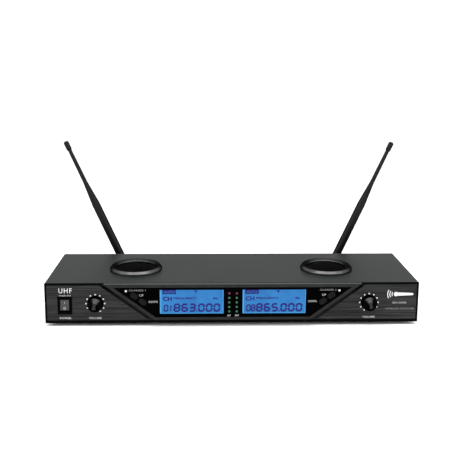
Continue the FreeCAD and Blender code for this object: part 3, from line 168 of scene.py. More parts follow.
def powder_coat(name, colour, roughness, specular, worn=2.2):
    """Sprayed coat with a fine orange peel, faint clouds and lighter, rubbed edges."""
    shade = Shade(name, Specular_IOR_Level=specular)
    grain = shade.noise(0.5 * MM, 4)
    clouds = shade.noise(60 * MM, 2)
    cloudy = shade.mix(shade.spread(clouds, 0, 1), tint(colour, 0.9), tint(colour, 1.08))
    speckled = shade.mix(shade.spread(grain, 0, 0.5), cloudy, tint(colour, 1.35))
    shade.colour(shade.mix(shade.edges(0.5 * MM), speckled, tint(colour, worn)))
    shade.rough(shade.spread(grain, roughness - 0.06, roughness + 0.08))
    shade.relief(grain, 0.03 * MM, 0.6)
    return shade.material


def moulded(name, colour, roughness, specular, grain=0.35, relief=0.02):
    """Moulded plastic: fine texture, slight patches of sheen and paler edges."""
    shade = Shade(name, Specular_IOR_Level=specular)
    texture = shade.noise(grain * MM, 3)
    patches = shade.noise(14 * MM, 3)
    base = shade.mix(shade.spread(patches, 0, 1), tint(colour, 0.85), tint(colour, 1.15))
    shade.colour(shade.mix(shade.edges(0.35 * MM), base, tint(colour, MOULDED_WEAR)))
    shade.rough(shade.maths("ADD", shade.spread(patches, -0.04, 0.05),
                            shade.spread(texture, roughness - 0.03, roughness + 0.03)))
    shade.relief(texture, relief * MM, 0.7)
    return shade.material


def satin(name, colour, roughness, grazing):
    """Glossy black plastic whose sheen stays weak at flat angles, with faint moulding swirls."""
    shade = Shade(name, Metallic=1.0, Specular_Tint=(grazing, grazing, grazing, 1))
    texture = shade.noise(0.35 * MM, 3)
    swirls = shade.noise(12 * MM, 3)
    base = shade.mix(shade.spread(swirls, 0, 1), tint(colour, 0.88), tint(colour, 1.12))
    shade.colour(shade.mix(shade.edges(0.3 * MM), base, tint(colour, SATIN_WEAR)))
    shade.rough(shade.maths("ADD", shade.spread(swirls, -0.03, 0.04),
                            shade.spread(texture, roughness - 0.02, roughness + 0.03)))
    shade.relief(texture, 0.008 * MM, 0.5)
    return shade.material


# Where painted shade or a painted highlight begins and ends: millimetres behind the node's front, or
# below its top.
KNOB_SCOOP_SHADE = (4.6, 5.1)
BEZEL_FLANK_SHADE = (0.2, 0.5)
BEZEL_LIP_HIGHLIGHT = (0.3, 0.1)


def behind_front(node, depths):
    """Places along Y at those depths behind the front of a CAD node."""
    return [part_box(node)[0].y + depth * MM for depth in depths]


def below_top(node, drops):
    """Places along Z at those drops below the top of a CAD node."""
    return [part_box(node)[1].z - drop * MM for drop in drops]


def knob_plastic(name, face, scoop_shade):
    """Glossy black knob with a sheen on its grip; its scoops, further back, carry painted shade that
    leaves them nearly black.
    """
    shade = Shade(name, Metallic=1.0, Specular_Tint=(0.05, 0.05, 0.05, 1))
    swirls = shade.noise(5 * MM, 3)
    sheen = shade.mix(shade.spread(swirls, 0, 1), tint(face, 0.85), tint(face, 1.15))
    # Painted shade: past these depths the knob's colour falls to the near-black scoop colour.
    scoops = shade.past("Y", behind_front("volume_knob_left", KNOB_SCOOP_SHADE))
    shade.colour(shade.mix(scoops, sheen, scoop_shade))
    shade.rough(shade.spread(swirls, 0.22, 0.3))
    shade.relief(swirls, 0.008 * MM, 0.5)
    return shade.material


def bezel_plastic(name, crest, flank_shade, lip_highlight):
    """Satin moulding: its sloping flanks carry painted shade, darker than its flat crest, and its top
    lip and crest edges a painted highlight.
    """
    shade = Shade(name, Specular_IOR_Level=0.05)
    texture = shade.noise(0.35 * MM, 3)
    patches = shade.noise(9 * MM, 3)
    polish = shade.mix(shade.spread(patches, 0, 1), tint(crest, 0.82), tint(crest, 1.18))
    # Painted highlight: the crest's edges are made paler.
    rim = shade.mix(shade.edges(0.5 * MM), polish, tint(crest, CREST_EDGE_HIGHLIGHT))
    # Painted shade on the sloping flanks and a painted highlight on the top lip.
    flanks = shade.past("Y", behind_front("display_bezel", BEZEL_FLANK_SHADE))
    lips = shade.past("Z", below_top("display_bezel", BEZEL_LIP_HIGHLIGHT))
    shade.colour(shade.mix(lips, shade.mix(flanks, rim, flank_shade), lip_highlight))
    shade.rough(shade.spread(texture, 0.42, 0.48))
    shade.relief(texture, 0.02 * MM, 0.7)
    return shade.material


def brushed(name, colour, roughness, along, contrast, broadest=0.9):
    """Metal brushed along one axis: long scratches of several widths in colour and sheen."""
    shade = Shade(name, Metallic=0.85)
    broad = shade.noise(broadest * MM, 2, along)
    fine = shade.noise(0.28 * MM, 3, along)
    patches = shade.noise(9 * MM, 2, tuple(max(1.0, times / 18) for times in along))
    streaks = shade.maths("ADD", shade.maths("MULTIPLY", broad, 0.6),
                          shade.maths("MULTIPLY", fine, 0.4))
    dark, light = tint(colour, 1 - contrast), tint(colour, 1 + contrast)
    lined = shade.mix(shade.spread(streaks, 0, 1, 0.36, 0.64), dark, light)
    shade.colour(shade.mix(shade.spread(patches, 0, 0.35), lined, tint(colour, 0.7)))
    shade.rough(shade.spread(streaks, roughness + 0.1, roughness - 0.08))
    shade.relief(streaks, 0.02 * MM, 0.5)
    return shade.material


def plated(name, colour, roughness):
    """Plated or turned metal with faint handling marks."""
    shade = Shade(name, Metallic=1.0)
    marks = shade.noise(1.6 * MM, 5)
    dull = shade.noise(7 * MM, 2)
    shade.colour(shade.mix(shade.spread(dull, 0, 1), tint(colour, 0.88), colour))
    shade.rough(shade.spread(marks, roughness - 0.06, roughness + 0.12))
    shade.relief(marks, 0.006 * MM, 0.5)
    return shade.material


def rubber(name, colour):
    """Matt rubber with a dusty bloom."""
    shade = Shade(name, Specular_IOR_Level=0.1)
    bloom = shade.noise(3 * MM, 4)
    pores = shade.noise(0.22 * MM, 3)
    shade.colour(shade.mix(shade.spread(bloom, 0, 1), colour, tint(colour, 1.5)))
    shade.rough(shade.spread(pores, 0.68, 0.85))
    shade.relief(pores, 0.03 * MM, 0.8)
    return shade.material


def smoked_pane(name, colour):
    """Polished dark acrylic with hairline scuffs that only show in its reflections."""
    shade = Shade(name, Specular_IOR_Level=0.004)
    haze = shade.noise(22 * MM, 3)
    scuffs = shade.noise(0.5 * MM, 4, (14, 1, 1))
    shade.colour(shade.mix(shade.spread(haze, 0, 1), colour, tint(colour, 1.6)))
    shade.rough(shade.spread(scuffs, 0.07, 0.16))
    return shade.material


def lens(name, body, lit, strength):
    """Glossy coloured lamp lens with a faint, slightly swirled glow."""
    shade = Shade(name, Roughness=0.22, Emission_Strength=strength)
    swirl = shade.noise(0.8 * MM, 2)
    shade.colour(shade.mix(shade.spread(swirl, 0, 1), body, tint(body, 1.3)))
    shade.glow(shade.mix(shade.spread(swirl, 0, 1), tint(lit, 0.8), lit))
    shade.relief(swirl, 0.01 * MM, 0.4)
    return shade.material


def circuit_board(name, colour):
    """Solder mask over copper tracks: paler streaks that run along two axes."""
    shade = Shade(name, Specular_IOR_Level=0.5)
    tracks = shade.noise(2.4 * MM, 0, (3, 1, 1))
    cross = shade.noise(2.4 * MM, 0, (1, 3, 1))
    lines = shade.spread(shade.maths("MAXIMUM", tracks, cross), 0, 1, 0.58, 0.6)
    shade.colour(shade.mix(lines, colour, tint(colour, 1.9)))
    shade.rough(shade.spread(lines, 0.42, 0.3))
    shade.relief(lines, 0.03 * MM, 0.6)
    return shade.material


def lcd_face(name):
    """Back-lit display: softly uneven blue light over fine cells."""
    shade = Shade(name, Roughness=0.3, Specular_IOR_Level=0.2, Emission_Strength=1.0)
    clouds = shade.noise(16 * MM, 2)
    cells = shade.noise(0.35 * MM, 1)
    blue = shade.mix(shade.spread(clouds, 0, 1), (0.003, 0.134, 0.41), (0.008, 0.184, 0.50))
    shade.glow(shade.mix(shade.spread(cells, 0, 0.25), blue, (0.012, 0.235, 0.575)))
    shade.colour(shade.mix(shade.spread(clouds, 0, 1), (0.004, 0.012, 0.04), (0.006, 0.02, 0.05)))
    return shade.material


def lcd_edge(name):
    """The strip along a display's rim where its back light leaks brightest."""
    shade = Shade(name, Roughness=0.3, Specular_IOR_Level=0.2, Emission_Strength=1.0)
    clouds = shade.noise(5 * MM, 2)
    shade.glow(shade.mix(shade.spread(clouds, 0, 1), (0.035, 0.30, 0.68), (0.06, 0.37, 0.76)))
    shade.colour(shade.mix(shade.spread(clouds, 0, 1), (0.01, 0.03, 0.05), (0.02, 0.04, 0.06)))
    return shade.material


def lcd_ink(name):
    """Dark segments, tinted by the light behind them."""
    shade = Shade(name, Roughness=0.35, Specular_IOR_Level=0.1, Emission_Strength=1.0)
    clouds = shade.noise(6 * MM, 2)
    shade.glow(shade.mix(shade.spread(clouds, 0, 1), (0.010, 0.012, 0.13), (0.022, 0.018, 0.20)))
    shade.colour(shade.mix(shade.spread(clouds, 0, 1), (0.002, 0.003, 0.02), (0.003, 0.004, 0.03)))
    return shade.material


def ink(name, colour):
    """Screen-printed ink: slightly uneven cover and a matt finish."""
    shade = Shade(name, Specular_IOR_Level=0.3)
    cover = shade.noise(0.6 * MM, 3)
    shade.colour(shade.mix(shade.spread(cover, 0, 1), tint(colour, 0.88), colour))
    shade.rough(shade.spread(cover, 0.5, 0.65))
    shade.relief(cover, 0.01 * MM, 0.5)
    return shade.material


def make_materials():
    """One material for each finish slot of the record."""
    return {
        "cover_steel": powder_coat(
            "cover_steel", (0.0117, 0.0140, 0.0133), 0.46, 0.055, worn=1.7),
        "case_steel": powder_coat("case_steel", (0.008, 0.008, 0.0085), 0.5, 0.15),
        "frame_plastic": moulded("frame_plastic", (0.0006, 0.0006, 0.0007), 0.55, 0.02),
        "trim_metal": brushed(
            "trim_metal", (0.0175, 0.018, 0.0177), 0.42, along=(60, 1, 1), contrast=0.8,
            broadest=1.3),
        # The bezel's flank colour is painted shade and its lip colour a painted highlight.
        "bezel_plastic": bezel_plastic(
            "bezel_plastic", crest=(0.0135, 0.0137, 0.0137), flank_shade=(0.0004, 0.0004, 0.0004),
            lip_highlight=(0.035, 0.036, 0.036)),
        "window_pane": smoked_pane("window_pane", (0.0004, 0.0004, 0.0005)),
        "lcd_glass": lcd_face("lcd_glass"),
        "backlight": moulded("backlight", (0.7, 0.74, 0.78), 0.5, 0.4),
        "green_lens": lens("green_lens", (0.008, 0.05, 0.025), (0.05, 0.30, 0.13), 0.22),
        "red_lens": lens("red_lens", (0.055, 0.004, 0.018), (0.30, 0.02, 0.10), 0.25),
        "white_lens": lens("white_lens", (0.45, 0.46, 0.48), (0.8, 0.82, 0.85), 0.1),
        "key_rubber": rubber("key_rubber", (0.0022, 0.0022, 0.0024)),
        # The knob's darker scoop colour is painted shade in its recesses.
        "knob_plastic": knob_plastic(
            "knob_plastic", face=(0.022, 0.022, 0.0225), scoop_shade=(0.0015, 0.0015, 0.0015)),
        "switch_plastic": moulded("switch_plastic", (0.0004, 0.0004, 0.0005), 0.42, 0.015),
        "rocker_plastic": moulded(
            "rocker_plastic", (0.031, 0.031, 0.033), 0.25, 0.3, grain=0.8, relief=0.005),
        "ring_plastic": satin("ring_plastic", (0.069, 0.069, 0.07), 0.28, 0.1),
        "cup_plastic": moulded("cup_plastic", (0.003, 0.003, 0.0035), 0.5, 0.15),
        "contact_metal": plated("contact_metal", (0.83, 0.62, 0.27), 0.22),
        "screw_steel": plated("screw_steel", (0.08, 0.08, 0.085), 0.36),
        "pcb": circuit_board("pcb", (0.012, 0.085, 0.03)),
        "pot_metal": plated("pot_metal", (0.5, 0.5, 0.51), 0.3),
        "tin": plated("tin", (0.58, 0.59, 0.6), 0.34),
        "capacitor_sleeve": moulded("capacitor_sleeve", (0.012, 0.016, 0.07), 0.35, 0.5),
        "heatsink_aluminium": brushed(
            "heatsink_aluminium", (0.42, 0.43, 0.44), 0.38, along=(1, 1, 40), contrast=0.2),
        "standoff_brass": plated("standoff_brass", (0.66, 0.52, 0.28), 0.3),
        "nickel": plated("nickel", (0.6, 0.59, 0.57), 0.24),
        "socket_metal": powder_coat("socket_metal", (0.014, 0.014, 0.015), 0.4, 0.4),
        "jack_plastic": moulded("jack_plastic", (0.006, 0.006, 0.0065), 0.45, 0.35),
        "antenna_plastic": satin("antenna_plastic", (0.016, 0.016, 0.0165), 0.4, 0.03),
        "foot_rubber": rubber("foot_rubber", (0.006, 0.006, 0.0065)),
    }


# ---------------------------------------------------------------- CAD nodes

# Edge rounding that the moulding or pressing of each sub-part leaves, in millimetres.
EDGE_ROUNDING = {
    "top_cover": 0.35, "base_tray": 0.25, "rear_panel": 0.2, "front_frame": 0.25,
    "trim_plate_left": 0.15, "trim_plate_right": 0.15, "display_window": 0.15,
    "button_up_left": 0.5, "button_down_left": 0.5,
    "button_up_right": 0.5, "button_down_right": 0.5,
    "power_switch_body": 0.4, "power_rocker": 0.35, "feet": 0.4, "xlr_shells": 0.3,
    "line_jack": 0.15, "dc_inlet": 0.15, "bnc_nuts": 0.2, "antenna_plug_left": 0.35,
    "antenna_plug_right": 0.35, "antenna_collar_left": 0.3, "antenna_collar_right": 0.3,
    "pot_nuts": 0.15, "cover_screws": 0.1, "foot_screws": 0.2, "connector_screws": 0.3,
}
SHARP = math.radians(35)
FLAT = math.radians(0.4)
WELDED = 0.002 * MM


def round_edges(node, width):
    """Round the CAD node's sharp edges for its looks; its own mesh stays as it is."""
    weld = node.modifiers.new("weld", "WELD")
    weld.merge_threshold = WELDED
    flat = node.modifiers.new("merge_flat_faces", "DECIMATE")
    flat.decimate_type = "DISSOLVE"
    flat.angle_limit = FLAT
    bevel = node.modifiers.new("bevel", "BEVEL")
    bevel.width = width
    bevel.segments = 2
    bevel.limit_method = "ANGLE"
    bevel.angle_limit = SHARP
    bevel.use_clamp_overlap = True
    normals = node.modifiers.new("normals", "WEIGHTED_NORMAL")
    normals.keep_sharp = False
    node.data.shade_smooth()


def dress_nodes(materials):
    """Give every CAD node its slot's material, and the listed ones their rounded edges."""
    for node in NODES.values():
        for place in node.material_slots:
            place.material = materials[place.name]
    for name, width in EDGE_ROUNDING.items():
        round_edges(NODES[name], width * MM)


# ---------------------------------------------------------------- pieces

class Plate:
    """Flat shapes printed or laid on an upright surface, gathered into one thin mesh.

    Shapes are drawn with x to the viewer's right and z up; facing is -1 for a surface seen from
    the front and 1 for one seen from behind.
    """

    def __init__(self, surface_y, thickness, facing=-1):
        self.mesh = bmesh.new()
        self.surface_y = surface_y
        self.thickness = thickness
        self.facing = facing

    def polygon(self, points):
        """A prism with that outline, standing on the surface."""
        back, front = self.surface_y, self.surface_y + self.facing * self.thickness
        rings = [[self.mesh.verts.new((x, y, z)) for x, z in points] for y in (back, front)]
        faces = [self.mesh.faces.new(rings[0]), self.mesh.faces.new(rings[1])]
        for start in range(len(points)):
            end = (start + 1) % len(points)
            faces.append(self.mesh.faces.new(
                (rings[0][start], rings[0][end], rings[1][end], rings[1][start])))
        bmesh.ops.recalc_face_normals(self.mesh, faces=faces)

    def bar(self, x, z):
        """A rectangle between two limits each way."""
        self.polygon([(x[0], z[0]), (x[1], z[0]), (x[1], z[1]), (x[0], z[1])])

    def dot(self, x, z, radius, sides=20):
        """A disc, drawn with that many sides."""
        turns = [2 * math.pi * step / sides for step in range(sides)]
        self.polygon([(x + radius * math.cos(turn), z + radius * math.sin(turn)) for turn in turns])

    def arc(self, x, z, radius, width, start, end, steps=10):
        """Part of a ring between two angles in degrees."""
        turns = [math.radians(start + (end - start) * step / steps) for step in range(steps + 1)]
        outer, inner = [[(x + reach * math.cos(turn), z + reach * math.sin(turn)) for turn in turns]
                        for reach in (radius + width / 2, radius - width / 2)]
        self.polygon(outer + inner[::-1])

    def words(self, text, centre, size, weight=0.0, spacing=1.08):
        """Lettering stretched to fill size = (width, height) round its centre."""
        curve = bpy.data.curves.new("words", "FONT")
        curve.body = text
        curve.extrude = 0.5
        curve.offset = weight
        curve.space_character = spacing
        curve.resolution_u = 3
        holder = bpy.data.objects.new("words", curve)
        letters = bpy.data.meshes.new_from_object(holder)
        bpy.data.objects.remove(holder)
        low = [min(vertex.co[axis] for vertex in letters.vertices) for axis in range(3)]
        high = [max(vertex.co[axis] for vertex in letters.vertices) for axis in range(3)]
        for vertex in letters.vertices:
            u, v, depth = [(value - start) / (end - start)
                           for value, start, end in zip(vertex.co, low, high)]
            vertex.co = (centre[0] - self.facing * (u - 0.5) * size[0],
                         self.surface_y + self.facing * self.thickness * depth,
                         centre[1] + (v - 0.5) * size[1])
        self.mesh.from_mesh(letters)
        bpy.data.meshes.remove(letters)

    def digit(self, segments, x, z, width, height, stroke):
        """A leaning seven-segment figure with its lower left corner at x, z."""
        half, point, gap = stroke / 2, stroke * 0.3, stroke * 0.03
        for (start_u, start_v), (end_u, end_v) in (SEGMENTS[name] for name in segments):
            u, v = x + start_u * width, z + start_v * height / 2
            if start_v == end_v:
                near, far = u + gap, x + end_u * width - gap
                points = [(near, v), (near + point, v - half), (far - point, v - half),
                          (far, v), (far - point, v + half), (near + point, v + half)]
            else:
                near, far = v + gap, z + end_v * height / 2 - gap
                points = [(u, near), (u + half, near + point), (u + half, far - point),
                          (u, far), (u - half, far - point), (u - half, near + point)]
            self.polygon([(across + (up - z) * DIGIT_SLANT, up) for across, up in points])

    def lean(self, x, y, z, angle):
        """Turn the shapes about X at the origin, then carry the origin to a point."""
        bmesh.ops.transform(self.mesh, verts=self.mesh.verts,
                            matrix=Matrix.Translation((x, y, z)) @ Matrix.Rotation(angle, 4, "X"))

    def finish(self, name, material, body="case", slot=None):
        """Turn the shapes into a piece that rides on a body."""
        data = bpy.data.meshes.new(name)
        bmesh.ops.remove_doubles(self.mesh, verts=self.mesh.verts, dist=SAME_POINT)
        self.mesh.to_mesh(data)
        self.mesh.free()
        piece = bpy.data.objects.new(name, data)
        data.materials.append(material)
        bpy.context.scene.collection.objects.link(piece)
        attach(piece, body)


# Strokes of a figure, from the lower left corner: a to g as usual, h and i down the middle.
SEGMENTS = {"a": ((0, 2), (1, 2)), "b": ((1, 1), (1, 2)), "c": ((1, 0), (1, 1)),
            "d": ((0, 0), (1, 0)), "e": ((0, 0), (0, 1)), "f": ((0, 1), (0, 2)),
            "g": ((0, 1), (1, 1)), "h": ((0.5, 0), (0.5, 1)), "i": ((0.5, 1), (0.5, 2))}
DIGITS = {"0": "abcdef", "1": "hi", "3": "abcdg", "5": "acdfg", "6": "acdefg", "8": "abcdefg"}
DIGIT_SLANT = 0.06
PRINT = 0.05 * MM
SAME_POINT = 0.0005 * MM

# How much the strokes of the lettering are thickened, and how far apart the largest is set.
EXTRA_BOLD = 0.05
BOLD = 0.02
MEDIUM = 0.01
THIN = -0.004
BIG_SPACING = 1.2

# Front lettering: width and height of each word. A place (..._AT) is the shift of its middle from
# the switch or the knob beside it, and its height over the plates' foot.
BIG_SIGN = (14.6 * MM, 5.8 * MM)
BIG_SIGN_AT = (0.8 * MM, 34.6 * MM)
UNDER_SIGN = (13.6 * MM, 1.8 * MM)
UNDER_SIGN_AT = (0.2 * MM, 28.6 * MM)
LABEL_HEIGHT = 2.5 * MM
POWER_LABEL = (12.7 * MM, 2.4 * MM)
POWER_LABEL_AT = (0.3 * MM, LABEL_HEIGHT)
VOLUME_LABEL = (14.2 * MM, 2.4 * MM)
VOLUME_LABEL_AT = {"left": (-0.6 * MM, LABEL_HEIGHT), "right": (0.2 * MM, LABEL_HEIGHT)}
CHANNEL_SIGN = (16 * MM, 2.2 * MM)
CHANNEL_SIGN_AT = (34.9 * MM, 19.3 * MM)
NAME_SIGN = (33 * MM, 2 * MM)
NAME_SIGN_AT = (35.5 * MM, 12.2 * MM)
EMBLEM_AT = (35.5 * MM, 29.3 * MM)

# Volume scale: dots on a ring round the knob, with their angles in degrees from its top.
DOT_RING = 10.4 * MM
DOT_RADIUS = 0.85 * MM
SCALE_DOTS = 10
SCALE_START = 150
SCALE_STEP = 30

# Rocker marks: depth of each half's face behind the rocker's foremost point, and its lean.
ROCKER_UPPER_RECESS = 2 * MM
ROCKER_LOWER_RECESS = 0.74 * MM
ROCKER_UPPER_LEAN = math.radians(0.2)
ROCKER_LOWER_LEAN = math.radians(-19.8)

# Display layout, measured from the lit face's lower left or upper left corner. A figure has its
# width, height and stroke; a legend has its middle's place across and down, then its size.
LCD_RIM = 0.8 * MM
LCD_BASELINE = 2.9 * MM
CHANNEL_START = 4.7 * MM
CHANNEL_PITCH = 5.3 * MM
CHANNEL_DIGIT = (3.6 * MM, 6.9 * MM, 1.6 * MM)
FREQUENCY_START = 15.9 * MM
FREQUENCY_PITCH = 8.65 * MM
FREQUENCY_DIGIT = (5.6 * MM, 7.9 * MM, 2.2 * MM)
POINT_PITCH = 1.4 * MM
POINT_RADIUS = 0.8 * MM
GLOW_WIDTH = 1.6 * MM
GLOW_THIN = 0.8 * MM
AUTO_BLOCK = ((2.9 * MM, 18 * MM), (5.5 * MM, 0.5 * MM))
AUTO_AT = (10.5 * MM, 3 * MM)
AUTO_SIGN = (11.5 * MM, 2.9 * MM)
AERIAL_AT = (40 * MM, 3 * MM)
LEGENDS = {
    "CH": (8.3 * MM, 10.9 * MM, (10.2 * MM, 5.3 * MM)),
    "FREQUENCY": (28 * MM, 10.5 * MM, (25.7 * MM, 2.8 * MM)),
    "MHz": (62.2 * MM, 10.5 * MM, (5.3 * MM, 2.8 * MM)),
}

# Layers of a lit display: how far each one's back stands before the glass, and its thickness.
FACE_LAYER = (0, 0.05 * MM)
GLOW_LAYER = (0.05 * MM, 0.01 * MM)
INK_LAYER = (0.06 * MM, 0.02 * MM)
CUTOUT_LAYER = (0.08 * MM, 0.01 * MM)


def middle(node):
    """The centre of a CAD node's box."""
    low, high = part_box(node)
    return (low + high) / 2


def spot(anchor, foot, shift):
    """The x and z of a word: shifted from its anchor sideways, and from the plates' foot up."""
    return (anchor.x + shift[0], foot + shift[1])


def make_front_print(white, grey, faint):
    """Lettering and volume scales on the brushed plates: large signs white, the rest greyer."""
    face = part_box("trim_plate_left")[0]
    switch = middle("power_switch_body")
    signs, small, dim = [Plate(face.y, PRINT) for _ in range(3)]
    signs.words("UHF", spot(switch, face.z, BIG_SIGN_AT), BIG_SIGN, 0, BIG_SPACING)
    small.words("WIRELESS", spot(switch, face.z, UNDER_SIGN_AT), UNDER_SIGN, BOLD)
    small.words("POWER", spot(switch, face.z, POWER_LABEL_AT), POWER_LABEL, BOLD)
    for side, way in SIDES.items():
        knob = middle(f"volume_knob_{side}")
        small.words("VOLUME", spot(knob, face.z, VOLUME_LABEL_AT[side]), VOLUME_LABEL, BOLD)
        for step in range(SCALE_DOTS):
            angle = math.radians(90 + way * (SCALE_START - SCALE_STEP * step))
            x, z = knob.x + DOT_RING * math.cos(angle), knob.z + DOT_RING * math.sin(angle)
            signs.dot(x, z, DOT_RADIUS)
    knob = middle("volume_knob_right")
    small.words("DUAL CHANNEL", spot(knob, face.z, CHANNEL_SIGN_AT), CHANNEL_SIGN)
    dim.words("WIRELESS RECEIVER", spot(knob, face.z, NAME_SIGN_AT), NAME_SIGN, THIN)
    make_emblem(signs, *spot(knob, face.z, EMBLEM_AT))
    signs.finish("front_signs", white)
    small.finish("front_words", grey)
    dim.finish("front_name", faint)


def make_emblem(plate, x, z):
    """A plain pictogram: a hand microphone lying on its side between radio waves."""
    head, head_radius = x - 5 * MM, 2.6 * MM
    neck, tail = x - 2.6 * MM, x + 14.5 * MM
    neck_half, tail_half = 2 * MM, 1.2 * MM
    wave_radius, wave_step, wave_width = 4.6 * MM, 2.5 * MM, 0.9 * MM
    plate.dot(head, z, head_radius)
    plate.polygon([(neck, z - neck_half), (tail, z - tail_half),
                   (tail, z + tail_half), (neck, z + neck_half)])
    for wave in range(3):
        plate.arc(head, z, wave_radius + wave_step * wave, wave_width, start=150, end=210)


# Pane lettering: width and height of each word, and its place. CHARGER is placed from the unit's
# middle and the pane's top, the others inwards and up from the key or the lamps beside them.
CHARGER_LABEL = (18.5 * MM, 2.1 * MM)
CHARGER_OUT = 106.5 * MM
CHARGER_DROP = 3 * MM
UP_LABEL = (4.4 * MM, 2.4 * MM)
UP_SHIFT = (8.2 * MM, 0.5 * MM)
DOWN_LABEL = (9.6 * MM, 2.4 * MM)
DOWN_SHIFT = (11.7 * MM, -0.2 * MM)
METER_LABEL = (4.2 * MM, 2.1 * MM)
METER_INWARD = 1.5 * MM
METER_RISE = 1.7 * MM


def make_window_print(grey, faint):
    """Lettering on the glossy pane: the charge lamps' names are fainter than the rest."""
    low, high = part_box("display_window")
    plate, dim = Plate(low.y, PRINT), Plate(low.y, PRINT)
    for side, way in SIDES.items():
        lamp = "CHARGER 1" if way < 0 else "CHARGER 2"
        dim.words(lamp, (way * CHARGER_OUT, high.z - CHARGER_DROP), CHARGER_LABEL)
        for word, size, shift in (("UP", UP_LABEL, UP_SHIFT), ("DOWN", DOWN_LABEL, DOWN_SHIFT)):
            key = middle(f"button_{word.lower()}_{side}")
            plate.words(word, (key.x - way * shift[0], key.z + shift[1]), size)
    first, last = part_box("red_leds")
    plate.words("AF", (first.x + METER_INWARD, low.z + METER_RISE), METER_LABEL)
    plate.words("RF", (last.x - METER_INWARD, low.z + METER_RISE), METER_LABEL)
    plate.finish("window_print", grey)
    dim.finish("window_charger_print", faint)


def layer(glass_y, standing):
    """A plate at one layer of a display."""
    lift, thickness = standing
    return Plate(glass_y - lift, thickness)


def make_display(side, channel, frequency, looks):
    """The lit face of one display, the bright strip at its rim and its dark segments."""
    face_material, edge_material, ink_material = looks
    low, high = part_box(f"lcd_glass_{side}")
    left, right = low.x + LCD_RIM, high.x - LCD_RIM
    bottom, top = low.z + LCD_RIM, high.z - LCD_RIM
    face = layer(low.y, FACE_LAYER)
    face.bar((left, right), (bottom, top))
    face.finish(f"lcd_face_{side}", face_material, slot="lcd_glass")
    edge = layer(low.y, GLOW_LAYER)
    edge.bar((left, left + GLOW_WIDTH), (bottom, top))
    edge.bar((right - GLOW_THIN, right), (bottom, top))
    edge.bar((left, right), (bottom, bottom + GLOW_THIN))
    edge.finish(f"lcd_glow_{side}", edge_material, slot="lcd_glass")

    marks = layer(low.y, INK_LAYER)
    draw_legends(marks, left, top)
    draw_figures(marks, left, bottom + LCD_BASELINE, channel, frequency)
    marks.finish(f"lcd_segments_{side}", ink_material, slot="lcd_glass")

    cutout = layer(low.y, CUTOUT_LAYER)
    cutout.words("AUTO", (left + AUTO_AT[0], top - AUTO_AT[1]), AUTO_SIGN)
    cutout.finish(f"lcd_cutout_{side}", face_material, slot="lcd_glass")


def draw_legends(marks, left, top):
    """The fixed words and signs in the display's upper half, with a solid block behind AUTO."""
    across, down = AUTO_BLOCK
    marks.bar([left + shift for shift in across], [top - drop for drop in down])
    for word, (shift, drop, size) in LEGENDS.items():
        marks.words(word, (left + shift, top - drop), size, EXTRA_BOLD)
    draw_aerial_sign(marks, left + AERIAL_AT[0], top - AERIAL_AT[1])


def draw_figures(marks, left, baseline, channel, frequency):
    """The channel's small figures and the frequency's large ones, in one row."""
    for index, character in enumerate(channel):
        x = left + CHANNEL_START + CHANNEL_PITCH * index
        marks.digit(DIGITS[character], x, baseline, *CHANNEL_DIGIT)
    x = left + FREQUENCY_START
    for character in frequency:
        if character == ".":
            marks.dot(x - POINT_PITCH / 2, baseline, POINT_RADIUS, 12)
            x += POINT_PITCH
        else:
            marks.digit(DIGITS[character], x, baseline, *FREQUENCY_DIGIT)
            x += FREQUENCY_PITCH


def draw_aerial_sign(marks, x, z):
    """A stemmed triangle, the usual sign for reception."""
    wide, stem, rise, neck = 2.2 * MM, 0.35 * MM, 1.8 * MM, 0.6 * MM
    marks.polygon([(x - wide, z + rise), (x - stem, z - neck), (x - stem, z - rise),
                   (x + stem, z - rise), (x + stem, z - neck), (x + wide, z + rise)])


# Rear lettering: width and height of each word, and its place beside its connector.
ANTENNA_LABEL = (11 * MM, 2.4 * MM)
ANTENNA_OUT = 135.5 * MM
ANTENNA_RISE = 36 * MM
OUTPUT_LABEL = (11 * MM, 2.2 * MM)
OUTPUT_OUT = 46 * MM
OUTPUT_DROP = 2.8 * MM
MIX_LABEL = (13 * MM, 2.2 * MM)
SUPPLY_LABEL = (9 * MM, 2.2 * MM)
UNDER_SOCKET = 11 * MM


def make_rear_print(white):
    """Lettering beside the rear connectors."""
    low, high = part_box("rear_panel")
    plate = Plate(high.y, PRINT, facing=1)
    for way in SIDES.values():
        number = "1" if way < 0 else "2"
        plate.words(f"ANT {number}", (way * ANTENNA_OUT, low.z + ANTENNA_RISE), ANTENNA_LABEL, MEDIUM)
        plate.words(f"OUT {number}", (way * OUTPUT_OUT, high.z - OUTPUT_DROP), OUTPUT_LABEL, MEDIUM)
    plate.words("MIX OUT", (0, middle("line_jack").z - UNDER_SOCKET), MIX_LABEL, MEDIUM)
    inlet = middle("dc_inlet")
    plate.words("DC IN", (inlet.x, inlet.z - UNDER_SOCKET), SUPPLY_LABEL, MEDIUM)
    plate.finish("rear_print", white)


def make_rocker_marks(faint):
    """On and off signs on the two halves of the rocker, which lean apart from each other."""
    low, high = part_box("power_rocker")
    centre = middle("power_rocker")
    stroke_half, height_half = 0.4 * MM, 1.5 * MM
    ring_radius, ring_stroke = 1.4 * MM, 0.55 * MM
    on_drop, off_rise = 3.4 * MM, 3 * MM
    upper, lower = Plate(0, PRINT), Plate(0, PRINT)
    upper.bar((-stroke_half, stroke_half), (-height_half, height_half))
    lower.arc(0, 0, ring_radius, ring_stroke, start=0, end=360, steps=32)
    upper.lean(centre.x, low.y + ROCKER_UPPER_RECESS, high.z - on_drop, ROCKER_UPPER_LEAN)
    lower.lean(centre.x, low.y + ROCKER_LOWER_RECESS, low.z + off_rise, ROCKER_LOWER_LEAN)
    upper.finish("rocker_on_mark", faint, body="rocker", slot="rocker_plastic")
    lower.finish("rocker_off_mark", faint, body="rocker", slot="rocker_plastic")


# ---------------------------------------------------------------- surroundings

